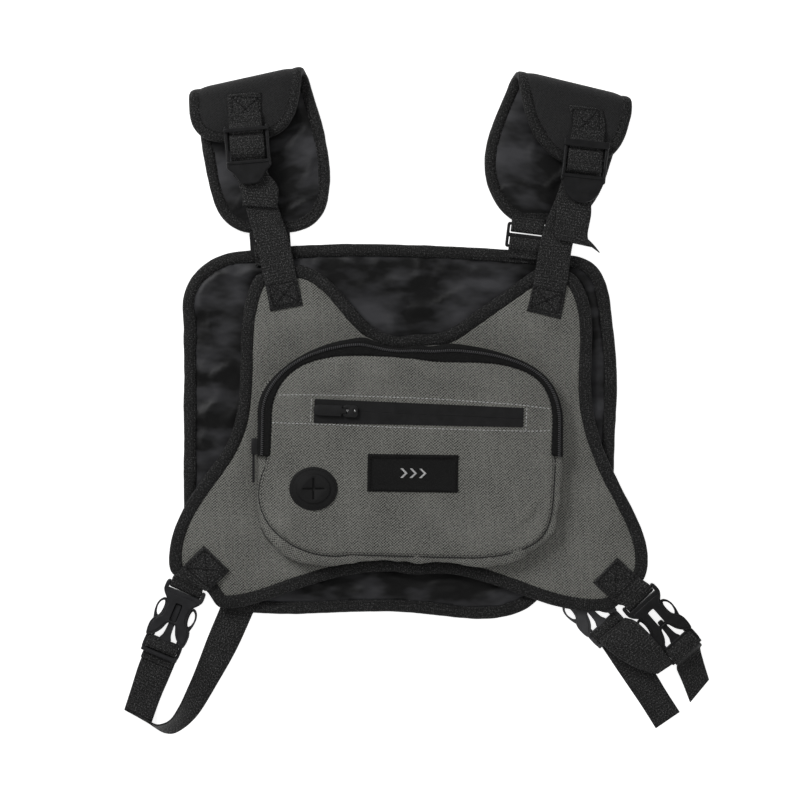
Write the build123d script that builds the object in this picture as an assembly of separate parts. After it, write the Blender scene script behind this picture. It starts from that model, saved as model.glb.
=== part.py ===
from build123d import *
import math
import os

# Chest rig vest, lying flat with its front upwards. Millimetres. +X is the right side as seen from the front,
# +Y points to the shoulders, +Z points out of the front, and z = 0 is the surface that the vest lies on.

os.makedirs("parts", exist_ok=True)

# Webbing and cloth
WEBBING_WIDTH = 25.0
WEBBING_THICK = 1.6
BINDING_WIDTH = 9.0

# Levels of the back panel
BACK_FOAM_LOW = 0.8
BACK_FOAM_HIGH = 5.0
BACK_LINING_HIGH = 5.8
BACK_BINDING_HIGH = 6.4
REAR_WEBBING_HIGH = 8.4

# Levels of the front panel, which clears the back panel by 1.8 mm
FRONT_LOW = 8.2
FRONT_FOAM_LOW = 8.8
FRONT_FACE_LOW = 11.2
FRONT_FACE_HIGH = 12.0
FRONT_BINDING_HIGH = 12.6
TAB_HIGH = 14.2

# Pocket
POCKET_SHELF_LOW = 25.0
POCKET_TOP = 26.5
POCKET_WALL = 1.5
ZIP_ENDS_Y = -42.0
COIL_INNER = 1.2
COIL_OUTER = 2.8
COIL_SUNK = 0.4

# Zip pulls hang on thin pins
PULL_PIN_R = 0.4
PULL_HOLE_R = 0.5
MAIN_PULL_PIN = (-121.5, -40.4)

# Shoulder pads: rear flap below, front flap above, joined by a bend
PAD_THICK = 8.0
PAD_BEND_OUTER = 9.5
PAD_BEND_INNER = 1.5
PAD_BEND_Z = 9.5
PAD_FRONT_LOW = 11.0
PAD_FRONT_HIGH = 19.0
PAD_BINDING_PROUD = 0.4
FOLD_GAP = 1.5

# Ladder locks
LOCK_HALF_WIDTH = 17.0
LOCK_LOW = 20.6
LOCK_HIGH = 24.6
LOCK_BAR_Z = 22.6
LOCK_CHEEK_INNER = 13.4
LOCK_LENGTH = 27.0

# Plastic bars that webbing is sewn or threaded round, with the webbing's sleeve and its clearance
BAR_R = 1.3
SLEEVE_R = 3.2
SLEEVE_HOLE_R = 1.7

# Side-release buckle. u runs from the socket's webbing bar to the plug's far bar, v runs across.
BUCKLE_HALF_THICK = 3.75
CAVITY_HALF_HEIGHT = 1.9
CAVITY_HALF_WIDTH = 14.8
BAR_U = -4.75
MOUTH_U = 36.6
PLUG_HEAD_U = 37.2
PLUG_END_U = 51.0
SOCKET_SLEEVE_R = 3.1
SOCKET_SLEEVE_HOLE_R = 1.65
ARM_HALF_HEIGHT = 1.5
ARM_GAP = 0.4
LEFT_BUCKLE_Z = 6.05
RIGHT_BUCKLE_Z = 11.85
REAR_BUCKLE_Z = 4.05


def outline(*stretches):
    """A closed face from stretches that join end to end: two points make a line, more make a smooth curve."""
    edges = []
    for points in stretches:
        if len(points) == 2:
            edges.append(Line(*points))
        else:
            edges.append(Spline(*points))
    return make_face(edges)


def slab(face, low, high):
    return Pos(0, 0, low) * extrude(face, amount=high - low)


def gap_to(point, edge):
    return min((edge @ 0 - point).length, (edge @ 1 - point).length)


def inset(face, distance):
    """The outline moved inwards, its curves drawn again as smooth curves that share their end points."""
    rim = offset(face, amount=-distance).face().outer_wire().order_edges()
    starts_at_0 = gap_to(rim[0] @ 1, rim[1]) < gap_to(rim[0] @ 0, rim[1])
    start = rim[0] @ 0 if starts_at_0 else rim[0] @ 1
    here = start
    edges = []
    for edge in rim:
        straight = edge.geom_type == GeomType.LINE or edge.length < BINDING_WIDTH / 2
        steps = 1 if straight else max(3, round(edge.length / BINDING_WIDTH))
        points = [edge @ (step / steps) for step in range(steps + 1)]
        if (points[-1] - here).length < (points[0] - here).length:
            points.reverse()
        points[0] = here
        if edge is rim[-1]:
            points[-1] = start
        edges.append(Line(*points) if straight else Spline(*points))
        here = points[-1]
    return make_face(edges)


def block(low, high):
    """A box from its lowest corner to its highest corner."""
    size = [b - a for a, b in zip(low, high)]
    middle = [(a + b) / 2 for a, b in zip(low, high)]
    return Pos(*middle) * Box(*size)


def band(points, thick, width):
    """Webbing that follows a profile in the XZ plane, centred on Y = 0."""
    sides = ([], [])
    last = len(points) - 1
    for i, (x, z) in enumerate(points):
        before = points[max(i - 1, 0)]
        after = points[min(i + 1, last)]
        into = math.atan2(z - before[1], x - before[0]) if i > 0 else None
        out = math.atan2(after[1] - z, after[0] - x) if i < last else None
        into = out if into is None else into
        out = into if out is None else out
        turn = (out - into + math.pi) % (2 * math.pi) - math.pi
        angle = into + turn / 2 + math.pi / 2
        reach = thick / 2 / math.cos(turn / 2)
        for side, sign in zip(sides, (1, -1)):
            side.append((x + sign * reach * math.cos(angle), z + sign * reach * math.sin(angle)))
    face = make_face(Polyline(*sides[0], *reversed(sides[1]), close=True))
    return extrude(Plane.XZ * face, amount=width / 2, both=True)


def mirrored(points):
    return points + [(u, -v) for u, v in reversed(points)]


def one_solid(shape):
    return Part() + shape.solids()


# ---------------------------------------------------------------- outlines

BACK_OUTLINE = outline(
    [(-143, -157.5), (-149, -147)],
    [(-149, -147), (-171.5, -137)],
    [(-171.5, -137), (-174, -127), (-174.5, -112)],
    [(-174.5, -112), (-174.5, 60)],
    [(-174.5, 60), (-170, 90), (-160, 101), (-128, 111.5)],
    [(-128, 111.5), (-88, 115.5), (0, 116), (60, 113), (118, 108)],
    [(118, 108), (136, 100), (147, 65), (151, 20), (150, -20), (149.5, -97)],
    [(149.5, -97), (86, -156)],
    [(86, -156), (78, -160), (0, -160.5), (-125, -160), (-143, -157.5)],
)

FRONT_OUTLINE = outline(
    [(-120, 94), (-88, 101)],
    [(-88, 101), (-65, 89), (-41, 62), (-26, 50), (0, 49.5)],
    [(0, 49.5), (22, 50.5), (40, 62), (70, 83), (92, 99)],
    [(92, 99), (117, 96)],
    [(117, 96), (128, 78), (132, 40), (131.5, 0), (149, -57), (166, -90), (173.5, -114), (171, -136)],
    [(171, -136), (148, -157.5)],
    [(148, -157.5), (110, -156), (80, -146.5), (50, -136), (0, -131.5)],
    [(0, -131.5), (-60, -133.5), (-100, -146), (-125, -154), (-149, -156.5)],
    [(-149, -156.5), (-156.5, -142.5)],
    [(-156.5, -142.5), (-184, -131)],
    [(-184, -131), (-184, -108), (-160, -60), (-140, -30), (-132, 10), (-130, 60), (-120, 94)],
)

POCKET_OUTLINE = outline(
    [(-118, -60), (-117.5, -12)],
    [(-117.5, -12), (-115.5, 2), (-108, 14), (-80, 35), (-55, 43.5), (0, 43.5)],
    [(0, 43.5), (40, 39.5), (75, 30), (98, 15), (107, -2), (109, -20)],
    [(109, -20), (109, -50)],
    [(109, -50), (107, -75), (100, -102), (80, -117), (58, -124.5)],
    [(58, -124.5), (-72, -124.5)],
    [(-72, -124.5), (-98, -116), (-115, -100), (-118, -80), (-118, -60)],
)
POCKET_FACE_OUTLINE = outline(
    [(-112, -50), (-110.5, -15)],
    [(-110.5, -15), (-108, 3), (-95, 22), (-65, 34), (0, 33)],
    [(0, 33), (40, 30.5), (75, 26), (96, 13), (103, -2), (104.5, -20)],
    [(104.5, -20), (103.5, -50)],
    [(103.5, -50), (102, -75), (94, -102), (70, -114.5), (38, -118)],
    [(38, -118), (-50, -115.5)],
    [(-50, -115.5), (-93, -108), (-109, -94), (-112, -50)],
)

# The pads' outlines run on past the fold line, where they are cut off.
LEFT_PAD_REAR_OUTLINE = outline(
    [(-172, 250), (-87, 269)],
    [(-87, 269), (-77, 228), (-65, 170), (-70, 141), (-92, 126)],
    [(-92, 126), (-122, 125)],
    [(-122, 125), (-145, 136), (-157, 168), (-162, 200), (-172, 250)],
)
LEFT_PAD_FRONT_OUTLINE = outline(
    [(-168, 250), (-82, 269)],
    [(-82, 269), (-87, 232), (-98, 203), (-127, 193), (-154, 194)],
    [(-154, 194), (-168, 207), (-169, 228), (-168, 250)],
)
RIGHT_PAD_REAR_OUTLINE = outline(
    [(80, 266), (168, 244)],
    [(168, 244), (158, 222), (150, 192), (140, 160), (118, 132)],
    [(118, 132), (78, 132)],
    [(78, 132), (58, 152), (52, 172), (60, 213), (80, 266)],
)
RIGHT_PAD_FRONT_OUTLINE = outline(
    [(71, 266), (159, 244)],
    [(159, 244), (160, 208), (146, 182), (126, 175)],
    [(126, 175), (104, 181), (88, 200), (78, 232), (71, 266)],
)

# Fold line of each pad: its two ends, the inner end first
LEFT_FOLD = ((-169, 233), (-83, 252))
RIGHT_FOLD = ((73.5, 249), (160.5, 228))


# ---------------------------------------------------------------- back panel

def back_panel():
    inner = inset(BACK_OUTLINE, BINDING_WIDTH)
    return {
        "back_panel_outer": slab(inner, 0, BACK_FOAM_LOW),
        "back_panel_foam": slab(inner, BACK_FOAM_LOW, BACK_FOAM_HIGH),
        "back_panel_lining": slab(inner, BACK_FOAM_HIGH, BACK_LINING_HIGH),
        "back_panel_binding": slab(BACK_OUTLINE - inner, 0, BACK_BINDING_HIGH),
    }


# ---------------------------------------------------------------- front panel

def front_panel():
    inner = inset(FRONT_OUTLINE, BINDING_WIDTH)
    return {
        "front_panel_lining": slab(inner, FRONT_LOW, FRONT_FOAM_LOW),
        "front_panel_foam": slab(inner, FRONT_FOAM_LOW, FRONT_FACE_LOW),
        "front_panel_face": slab(inner, FRONT_FACE_LOW, FRONT_FACE_HIGH),
        "front_panel_binding": slab(FRONT_OUTLINE - inner, FRONT_LOW, FRONT_BINDING_HIGH),
    }


# ---------------------------------------------------------------- pocket

def pocket():
    panel = inset(FRONT_OUTLINE, BINDING_WIDTH)
    whole = POCKET_OUTLINE & panel
    inside = inset(whole, POCKET_WALL)
    above_ends = Pos(0, ZIP_ENDS_Y + 100) * Rectangle(400, 200)
    tape = (inside - POCKET_FACE_OUTLINE) & above_ends
    coil = (inset(POCKET_FACE_OUTLINE, -COIL_OUTER) - inset(POCKET_FACE_OUTLINE, -COIL_INNER)) & tape
    walls = slab(whole - inside, FRONT_FACE_HIGH, POCKET_SHELF_LOW)
    shelf = slab(whole - POCKET_FACE_OUTLINE - tape, POCKET_SHELF_LOW, POCKET_TOP)
    return {
        "pocket_gusset": one_solid(walls + shelf),
        "pocket_face": slab(POCKET_FACE_OUTLINE, POCKET_SHELF_LOW, POCKET_TOP),
        "main_zip_tape": slab(tape, POCKET_SHELF_LOW, POCKET_TOP - COIL_SUNK),
        "main_zip_teeth": slab(coil, POCKET_TOP - COIL_SUNK, POCKET_TOP + COIL_SUNK),
    }


def main_zip_pieces():
    """The slider sits on the pocket's left wall, and its pull hangs down along that wall from a cross pin."""
    pin_x, pin_y = MAIN_PULL_PIN
    body = block((-123.0, -41, 16.5), (-118.3, -29, 24.5))
    notch = block((-124, -42, 18), (-119.6, -38.6, 23))
    pin = Pos(pin_x, pin_y, 20.5) * Cylinder(PULL_PIN_R, 7)
    pull = block((-122.3, -62, 18.5), (-120.7, -39.4, 22.5))
    hole = Pos(pin_x, pin_y, 20.5) * Cylinder(PULL_HOLE_R, 10)
    return {"main_zip_slider": one_solid(body - notch + pin), "main_zip_pull": one_solid(pull - hole)}


# Front zip: its strip runs slightly downhill to the right
FRONT_ZIP_TILT = -2.5
FRONT_ZIP_MIDDLE = (2, -11)
FRONT_ZIP_LENGTH = 156.0
FRONT_ZIP_WIDTH = 16.0
FRONT_ZIP_HIGH = POCKET_TOP + 0.8
FRONT_SLIDER_X = -51.0


def front_zip_pieces():
    place = Pos(*FRONT_ZIP_MIDDLE, 0) * Rot(0, 0, FRONT_ZIP_TILT)
    strip = slab(RectangleRounded(FRONT_ZIP_LENGTH, FRONT_ZIP_WIDTH, 1.5), POCKET_TOP, FRONT_ZIP_HIGH)
    low = FRONT_ZIP_HIGH + 0.1
    pin_x = -4.0
    pin_z = low + 2.2
    body = slab(RectangleRounded(11, 9, 2.5), low, low + 2.8)
    notch = block((-6, -2.4, low + 0.5), (-2.2, 2.4, low + 4))
    pin = Pos(pin_x, 0, pin_z) * Rot(90, 0, 0) * Cylinder(PULL_PIN_R, 6.4)
    slider = Pos(FRONT_SLIDER_X, 0, 0) * one_solid(body - notch + pin)
    grip = slab(Pos(-14.5, 0) * SlotOverall(26, 8), low + 1.4, low + 3.0)
    grip = grip - block((-6.6, -10, low), (6, 10, low + 9))
    neck = slab(Pos(-4.9, 0) * Rectangle(3.8, 4), low + 1.4, low + 3.0)
    hole = Pos(pin_x, 0, pin_z) * Rot(90, 0, 0) * Cylinder(PULL_HOLE_R, 10)
    pull = Pos(FRONT_SLIDER_X, 0, 0) * one_solid(grip + neck - hole)
    return {
        "front_zip_tape": place * strip,
        "front_zip_slider": place * slider,
        "front_zip_pull": place * pull,
    }


def pocket_trim():
    pouch = block((-78, -96, 22), (82, -24, 24.4)) + block((-74, -26, 22), (78, -4, POCKET_SHELF_LOW))
    label = slab(Pos(-2.5, -55) * Rot(0, 0, -0.8) * RectangleRounded(67.5, 28, 1), POCKET_TOP, POCKET_TOP + 1.2)
    port = slab(Ellipse(18, 16.25), POCKET_TOP, POCKET_TOP + 1.2)
    port += slab(Ellipse(12.5, 11), POCKET_TOP, POCKET_TOP + 2.2)
    slit = block((-8, -0.6, POCKET_TOP + 0.8), (8, 0.6, POCKET_TOP + 3))
    slit += block((-0.6, -8, POCKET_TOP + 0.8), (0.6, 8, POCKET_TOP + 3))
    return {
        "front_pouch": one_solid(pouch),
        "label_patch": label,
        "cable_port": one_solid(Pos(-76.5, -66.5, 0) * (port - slit)),
    }


# ---------------------------------------------------------------- shoulder pads

def fold_place(fold):
    """Local frame of a fold line: X along the line, Y across it towards the shoulders, origin at its middle."""
    (x0, y0), (x1, y1) = fold
    angle = math.degrees(math.atan2(y1 - y0, x1 - x0))
    return Pos((x0 + x1) / 2, (y0 + y1) / 2) * Rot(0, 0, angle), math.hypot(x1 - x0, y1 - y0)


def shoulder_pad(side, rear, front, fold):
    place, length = fold_place(fold)
    rear_area = place * Pos(0, -PAD_BEND_OUTER - 200) * Rectangle(400, 400)
    front_area = place * Pos(0, -PAD_BEND_OUTER - FOLD_GAP - 200) * Rectangle(400, 400)
    rear_inner = inset(rear, BINDING_WIDTH) & rear_area
    front_inner = inset(front, BINDING_WIDTH) & front_area
    rear = rear & rear_area
    front = front & front_area
    ring = Circle(PAD_BEND_OUTER) - Circle(PAD_BEND_INNER)
    ring = ring & (Pos(50, 0) * Rectangle(100, 100))
    bend = extrude(Plane.YZ * ring, amount=length / 2 - 2, both=True)
    bend = place * Pos(0, -PAD_BEND_OUTER, PAD_BEND_Z) * bend
    return {
        side + "_pad_rear": one_solid(slab(rear_inner, 0, PAD_THICK) + bend),
        side + "_pad_rear_binding": slab(rear - rear_inner, 0, PAD_THICK + PAD_BINDING_PROUD),
        side + "_pad_front": slab(front_inner, PAD_FRONT_LOW, PAD_FRONT_HIGH),
        side + "_pad_front_binding": slab(front - front_inner, PAD_FRONT_LOW, PAD_FRONT_HIGH - 0.2),
    }


# ---------------------------------------------------------------- webbing at the shoulders

def strap_place(start, towards):
    """Local frame of a strap on the plan: X from start towards the second point."""
    angle = math.degrees(math.atan2(towards[1] - start[1], towards[0] - start[0]))
    return Pos(start[0], start[1], 0) * Rot(0, 0, angle)


def shoulder_webbing(side, anchor_start, lock_top, lock_down, sewn_end, tail_end):
    """Anchor webbing on the pad's front flap, the ladder lock, the front webbing and its tail."""
    lock_place = strap_place(lock_top, lock_down)
    across = Pos(0, 0, LOCK_BAR_Z) * Rot(90, 0, 0)
    flat_z = PAD_FRONT_HIGH + WEBBING_THICK / 2
    anchor = strap_place(anchor_start, lock_top) * band(
        [(0, flat_z), (math.dist(anchor_start, lock_top), flat_z)], WEBBING_THICK, WEBBING_WIDTH)
    sleeve_hole = Cylinder(SLEEVE_HOLE_R, 2 * LOCK_HALF_WIDTH)
    anchor += lock_place * across * (Cylinder(SLEEVE_R, WEBBING_WIDTH) - sleeve_hole)

    bar = across * Cylinder(BAR_R, 2 * LOCK_HALF_WIDTH)
    cheeks = block((-BAR_R, LOCK_CHEEK_INNER, LOCK_LOW), (LOCK_LENGTH, LOCK_HALF_WIDTH, LOCK_HIGH))
    cheeks += block((-BAR_R, -LOCK_HALF_WIDTH, LOCK_LOW), (LOCK_LENGTH, -LOCK_CHEEK_INNER, LOCK_HIGH))
    middle_bar = Pos(14, 0, -0.7) * bar
    plate_plan = make_face(Polyline(*mirrored([(24.5, 17), (29, 17), (40.5, 5)]), close=True))
    plate = slab(plate_plan, LOCK_BAR_Z, LOCK_HIGH + 0.3)

    over_bar = [(4.4, 24.2), (18.5, 24.2), (22.3, 20.4), (26, 19.4), (32, 19.2)]
    turn_off = (lock_place * Pos(30, 0, 0)).position
    loose = [(0, 19.2), (math.dist((turn_off.X, turn_off.Y), tail_end), 17.6)]
    tail = lock_place * band(over_bar, WEBBING_THICK, WEBBING_WIDTH)
    tail += strap_place((turn_off.X, turn_off.Y), tail_end) * band(loose, WEBBING_THICK, WEBBING_WIDTH)

    run = math.dist(sewn_end, lock_down)
    low = FRONT_FACE_HIGH + WEBBING_THICK / 2
    high = FRONT_BINDING_HIGH + WEBBING_THICK / 2 + 0.4
    front = strap_place(sewn_end, lock_down) * band(
        [(0, low), (9, low), (15, high), (run - 12, high), (run, 16.2)], WEBBING_THICK, WEBBING_WIDTH)
    return {
        side + "_anchor_webbing": one_solid(anchor),
        side + "_ladder_lock": one_solid(lock_place * (bar + cheeks + middle_bar + plate)),
        side + "_webbing_tail": one_solid(tail),
        side + "_front_webbing": front,
    }


def slide_buckle(place):
    frame = RectangleRounded(30.5, 19, 2)
    for y in (-4.4, 4.4):
        frame -= Pos(0, y) * Rectangle(26, 6.0)
    return place * slab(frame, REAR_WEBBING_HIGH, REAR_WEBBING_HIGH + 2.4)


def rear_webbing():
    """Webbing from each pad's rear end to the back panel, with a slide buckle on it."""
    made = {}
    for side, middle, tilt, top_y in (("left", (-109.5, 118), 4, 6.7), ("right", (83, 122.5), -7, 8.6)):
        place = Pos(*middle, 0) * Rot(0, 0, tilt)
        half = WEBBING_WIDTH / 2
        from_pad = block((-half, 2.8, BACK_BINDING_HIGH), (half, top_y, REAR_WEBBING_HIGH))
        to_panel = block((-half, -18.5, BACK_BINDING_HIGH), (half, -0.5, REAR_WEBBING_HIGH))
        made[side + "_rear_webbing"] = place * (from_pad + to_panel)
        made[side + "_rear_slide"] = slide_buckle(place)
    return made


# ---------------------------------------------------------------- side-release buckles

def buckle_socket():
    half = [(-6.1, 14.6), (-5.4, 15.7), (1, 15.7), (5, 13.0), (8, 10), (20.5, 10), (23, 14.8), (26, 16),
            (34, 15.6), (MOUTH_U, 13.8), (MOUTH_U, 10.5), (31, 8), (27.5, 4.5), (25, 1.6)]
    plan = make_face(Polyline(*mirrored(half), close=True))
    body = slab(plan, -BUCKLE_HALF_THICK, BUCKLE_HALF_THICK)
    cavity = block((6, -CAVITY_HALF_WIDTH, -CAVITY_HALF_HEIGHT), (50, CAVITY_HALF_WIDTH, CAVITY_HALF_HEIGHT))
    for side in (1, -1):
        low, high = sorted((side * 3.1, side * 4.7))
        cavity -= block((6, low, -CAVITY_HALF_HEIGHT), (24, high, CAVITY_HALF_HEIGHT))
    webbing_slot = block((-8, -13.3, -5), (0.8, 13.3, 5))
    bar = Pos(BAR_U, 0, 0) * Rot(90, 0, 0) * Cylinder(BAR_R, 28)
    return one_solid(body - cavity - webbing_slot + bar)


def buckle_plug():
    head = slab(Pos(PLUG_HEAD_U + 1, 0) * Rectangle(2.0, 29), -2.4, 2.4)
    tongue_plan = make_face(Polyline(*mirrored([(16, 1.0), (20, 2.3), (38.5, 2.3)]), close=True))
    tongue = slab(tongue_plan, -1.6, 1.6)
    cheeks = block((PLUG_HEAD_U, 13.0, -2.8), (PLUG_END_U, 15.4, 2.8))
    cheeks += block((PLUG_HEAD_U, -15.4, -2.8), (PLUG_END_U, -13.0, 2.8))
    inner_bar = block((41.4, -14, -1.8), (43.8, 14, 1.8))
    outer_bar = block((48.2, -14, -1.6), (PLUG_END_U, 14, 1.8))
    return one_solid(head + tongue + cheeks + inner_bar + outer_bar)


def buckle_arm():
    """A squeeze arm on the +V side, rooted just inside the plug's head."""
    root = PLUG_HEAD_U - ARM_GAP
    plan = make_face(Polyline((root, 11.6), (30, 13.4), (23, 14.3), (15, 14.3), (9.5, 12.4), (7, 10.2), (7.6, 9.2),
                              (10.4, 11.2), (15, 12.9), (22, 12.9), (29, 10.4), (root, 8.2), close=True))
    return slab(plan, -ARM_HALF_HEIGHT, ARM_HALF_HEIGHT)


def plug_webbing(length):
    """Webbing that comes from under the outer bar, up over the inner bar and down in front of it."""
    route = [(PLUG_END_U + length, -2.7), (46.0, -2.7), (46.0, 2.7), (40.4, 2.7), (40.4, -2.2)]
    return band(route, 1.2, WEBBING_WIDTH)


def tab_loop(ramp):
    """Webbing sleeve round the socket's bar, with a ramp that follows the given (u, z) points to the sewn tab."""
    across = Pos(BAR_U, 0, 0) * Rot(90, 0, 0)
    sleeve = across * Cylinder(SOCKET_SLEEVE_R, WEBBING_WIDTH)
    return sleeve + band(ramp, 2.0, WEBBING_WIDTH) - across * Cylinder(SOCKET_SLEEVE_HOLE_R, 60)


def buckle_place(slot, angle, z):
    return Pos(slot[0], slot[1], z) * Rot(0, 0, angle)


LEFT_BUCKLE = buckle_place((-174.5, -146), -112.5, LEFT_BUCKLE_Z)
RIGHT_BUCKLE = buckle_place((170, -152), -48.5, RIGHT_BUCKLE_Z)
REAR_BUCKLE = buckle_place((114.2, -140.8), -47, REAR_BUCKLE_Z)


def buckles():
    made = {}
    for name, place in (("left", LEFT_BUCKLE), ("right", RIGHT_BUCKLE), ("rear", REAR_BUCKLE)):
        made[name + "_buckle_socket"] = place * buckle_socket()
        made[name + "_buckle_plug"] = place * buckle_plug()
        made[name + "_squeeze_arm_a"] = place * buckle_arm()
        made[name + "_squeeze_arm_b"] = place * mirror(buckle_arm(), about=Plane.XZ)
    return made


def corner_tabs():
    top = FRONT_BINDING_HIGH + 1.05
    left_rise = top - LEFT_BUCKLE_Z
    right_rise = top - RIGHT_BUCKLE_Z
    left_plan = make_face(Polyline((-159, -110), (-140, -128), (-157.5, -145.5), (-181.5, -134.5), (-178, -128),
                                   close=True))
    right_plan = make_face(Polyline((151, -119), (133, -137), (153, -154.5), (171.5, -137.5), close=True))
    left = slab(left_plan, FRONT_BINDING_HIGH, TAB_HIGH) + LEFT_BUCKLE * tab_loop(
        [(-5.75, 2.0), (-8.4, 3.2), (-8.4, left_rise), (-13, left_rise)])
    right = slab(right_plan, FRONT_BINDING_HIGH, TAB_HIGH) + RIGHT_BUCKLE * tab_loop(
        [(-5.75, 2.0), (-8.4, right_rise), (-13, right_rise)])
    rear = REAR_BUCKLE * tab_loop([(-8.0, 0), (-6.5, 0)])
    return {
        "left_front_tab": one_solid(left),
        "right_front_tab": one_solid(right),
        "rear_tab": one_solid(rear),
    }


# ---------------------------------------------------------------- side straps

RIGHT_LINK = Pos(146, -173, 0) * Rot(0, 0, -47)
HEM_LOW = 0.4


def side_straps():
    loop = outline(
        [(-149.0, -158.5), (-160, -185), (-174, -222), (-184, -240), (-198, -244)],
        [(-198, -244), (-193, -225), (-181, -198)],
        [(-181, -198), (-205, -189)],
        [(-205, -189), (-215, -218), (-220, -233)],
        [(-220, -233), (-205, -240)],
        [(-205, -240), (-200, -246), (-184, -251.8), (-162, -236), (-141, -200), (-121, -160.9)],
        [(-121, -160.9), (-118, -152)],
        [(-118, -152), (-146, -150)],
        [(-146, -150), (-149, -158.5)],
    ) - BACK_OUTLINE
    tail_plan = outline(
        [(194.6, -201), (212.4, -188)],
        [(212.4, -188), (221, -211)],
        [(221, -211), (206.5, -228.5)],
        [(206.5, -228.5), (194.6, -201)],
    )
    hemmed_plan = outline(
        [(141, -187), (160, -216), (181, -248)],
        [(181, -248), (199, -236)],
        [(199, -236), (180, -206), (162, -173)],
        [(162, -173), (141, -187)],
    )
    link = RIGHT_LINK * band([(0, 9.4), (8, 11.4), (20, 12.2), (34, 11.4), (42, 9.4)], WEBBING_THICK, 22)
    tail_low = RIGHT_BUCKLE_Z - 3.5
    tail = slab(tail_plan, tail_low, tail_low + WEBBING_THICK)
    hemmed = slab(hemmed_plan, HEM_LOW, HEM_LOW + WEBBING_THICK)
    return {
        "left_strap": slab(loop, 0, WEBBING_THICK),
        "left_strap_end": LEFT_BUCKLE * plug_webbing(4),
        "right_front_tail": one_solid(RIGHT_BUCKLE * plug_webbing(4) + tail),
        "rear_tail": one_solid(REAR_BUCKLE * plug_webbing(3) + hemmed),
        "right_link_webbing": link,
    }


# ---------------------------------------------------------------- the whole vest

LEFT_LOCK_TOP = (-127, 201.5)
RIGHT_LOCK_TOP = (127.5, 190.5)

pieces = {}
pieces.update(back_panel())
pieces.update(front_panel())
pieces.update(pocket())
pieces.update(main_zip_pieces())
pieces.update(front_zip_pieces())
pieces.update(pocket_trim())
pieces.update(shoulder_pad("left", LEFT_PAD_REAR_OUTLINE, LEFT_PAD_FRONT_OUTLINE, LEFT_FOLD))
pieces.update(shoulder_pad("right", RIGHT_PAD_REAR_OUTLINE, RIGHT_PAD_FRONT_OUTLINE, RIGHT_FOLD))
pieces.update(shoulder_webbing("left", (-128.5, 229), LEFT_LOCK_TOP, (-124.5, 172), (-97, 69), (-117, 144)))
pieces.update(shoulder_webbing("right", (126.5, 219), RIGHT_LOCK_TOP, (124.5, 163), (96, 63.5), (116, 121)))
pieces.update(rear_webbing())
pieces.update(buckles())
pieces.update(corner_tabs())
pieces.update(side_straps())

for name, shape in pieces.items():
    export_step(shape, os.path.join("parts", name + ".step"))
print(len(pieces), "nodes")
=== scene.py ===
"""Looks of the chest rig vest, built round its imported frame.

Points and sizes are in millimetres until mesh_piece."""
import math

import bmesh
import bpy
import numpy as np
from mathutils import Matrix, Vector, noise
from mathutils.geometry import delaunay_2d_cdt


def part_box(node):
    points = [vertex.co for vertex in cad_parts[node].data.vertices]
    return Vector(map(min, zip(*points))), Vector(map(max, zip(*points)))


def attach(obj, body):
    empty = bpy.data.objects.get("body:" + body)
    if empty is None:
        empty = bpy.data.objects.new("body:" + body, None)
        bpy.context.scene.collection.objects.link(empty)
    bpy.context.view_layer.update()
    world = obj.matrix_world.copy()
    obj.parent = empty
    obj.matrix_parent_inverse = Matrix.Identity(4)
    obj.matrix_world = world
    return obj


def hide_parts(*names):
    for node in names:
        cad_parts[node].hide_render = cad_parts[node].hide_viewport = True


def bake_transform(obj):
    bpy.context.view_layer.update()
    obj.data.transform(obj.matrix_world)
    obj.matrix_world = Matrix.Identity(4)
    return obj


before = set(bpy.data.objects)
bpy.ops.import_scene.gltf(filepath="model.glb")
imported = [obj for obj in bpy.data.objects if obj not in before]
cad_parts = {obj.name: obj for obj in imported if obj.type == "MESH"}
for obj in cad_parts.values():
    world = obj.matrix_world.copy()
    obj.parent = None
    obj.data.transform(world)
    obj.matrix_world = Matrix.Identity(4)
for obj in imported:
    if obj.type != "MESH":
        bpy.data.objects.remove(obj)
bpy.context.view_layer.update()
MM = 0.001
TURN = 2 * math.pi
UP = (0.0, 0.0, 1.0)

# Levels that the pieces keep to, from the frame
BACK_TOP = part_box("back_panel_lining")[1].z / MM
BACK_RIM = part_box("back_panel_binding")[1].z / MM
FRONT_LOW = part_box("front_panel_lining")[0].z / MM
FRONT_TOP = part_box("front_panel_face")[1].z / MM
FRONT_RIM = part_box("front_panel_binding")[1].z / MM
SHELF_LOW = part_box("pocket_face")[0].z / MM
POCKET_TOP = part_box("pocket_face")[1].z / MM

BINDING = 9.0
WEBBING = 25.0
WEBBING_THICK = 1.6
NARROW_HALF = 12.4  # webbing inside a buckle's or slide's slot
BOX_STITCHES = {"pitch": 2.7, "long": 2.4, "radius": 0.5}


# ---------------------------------------------------------------- materials

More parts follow.
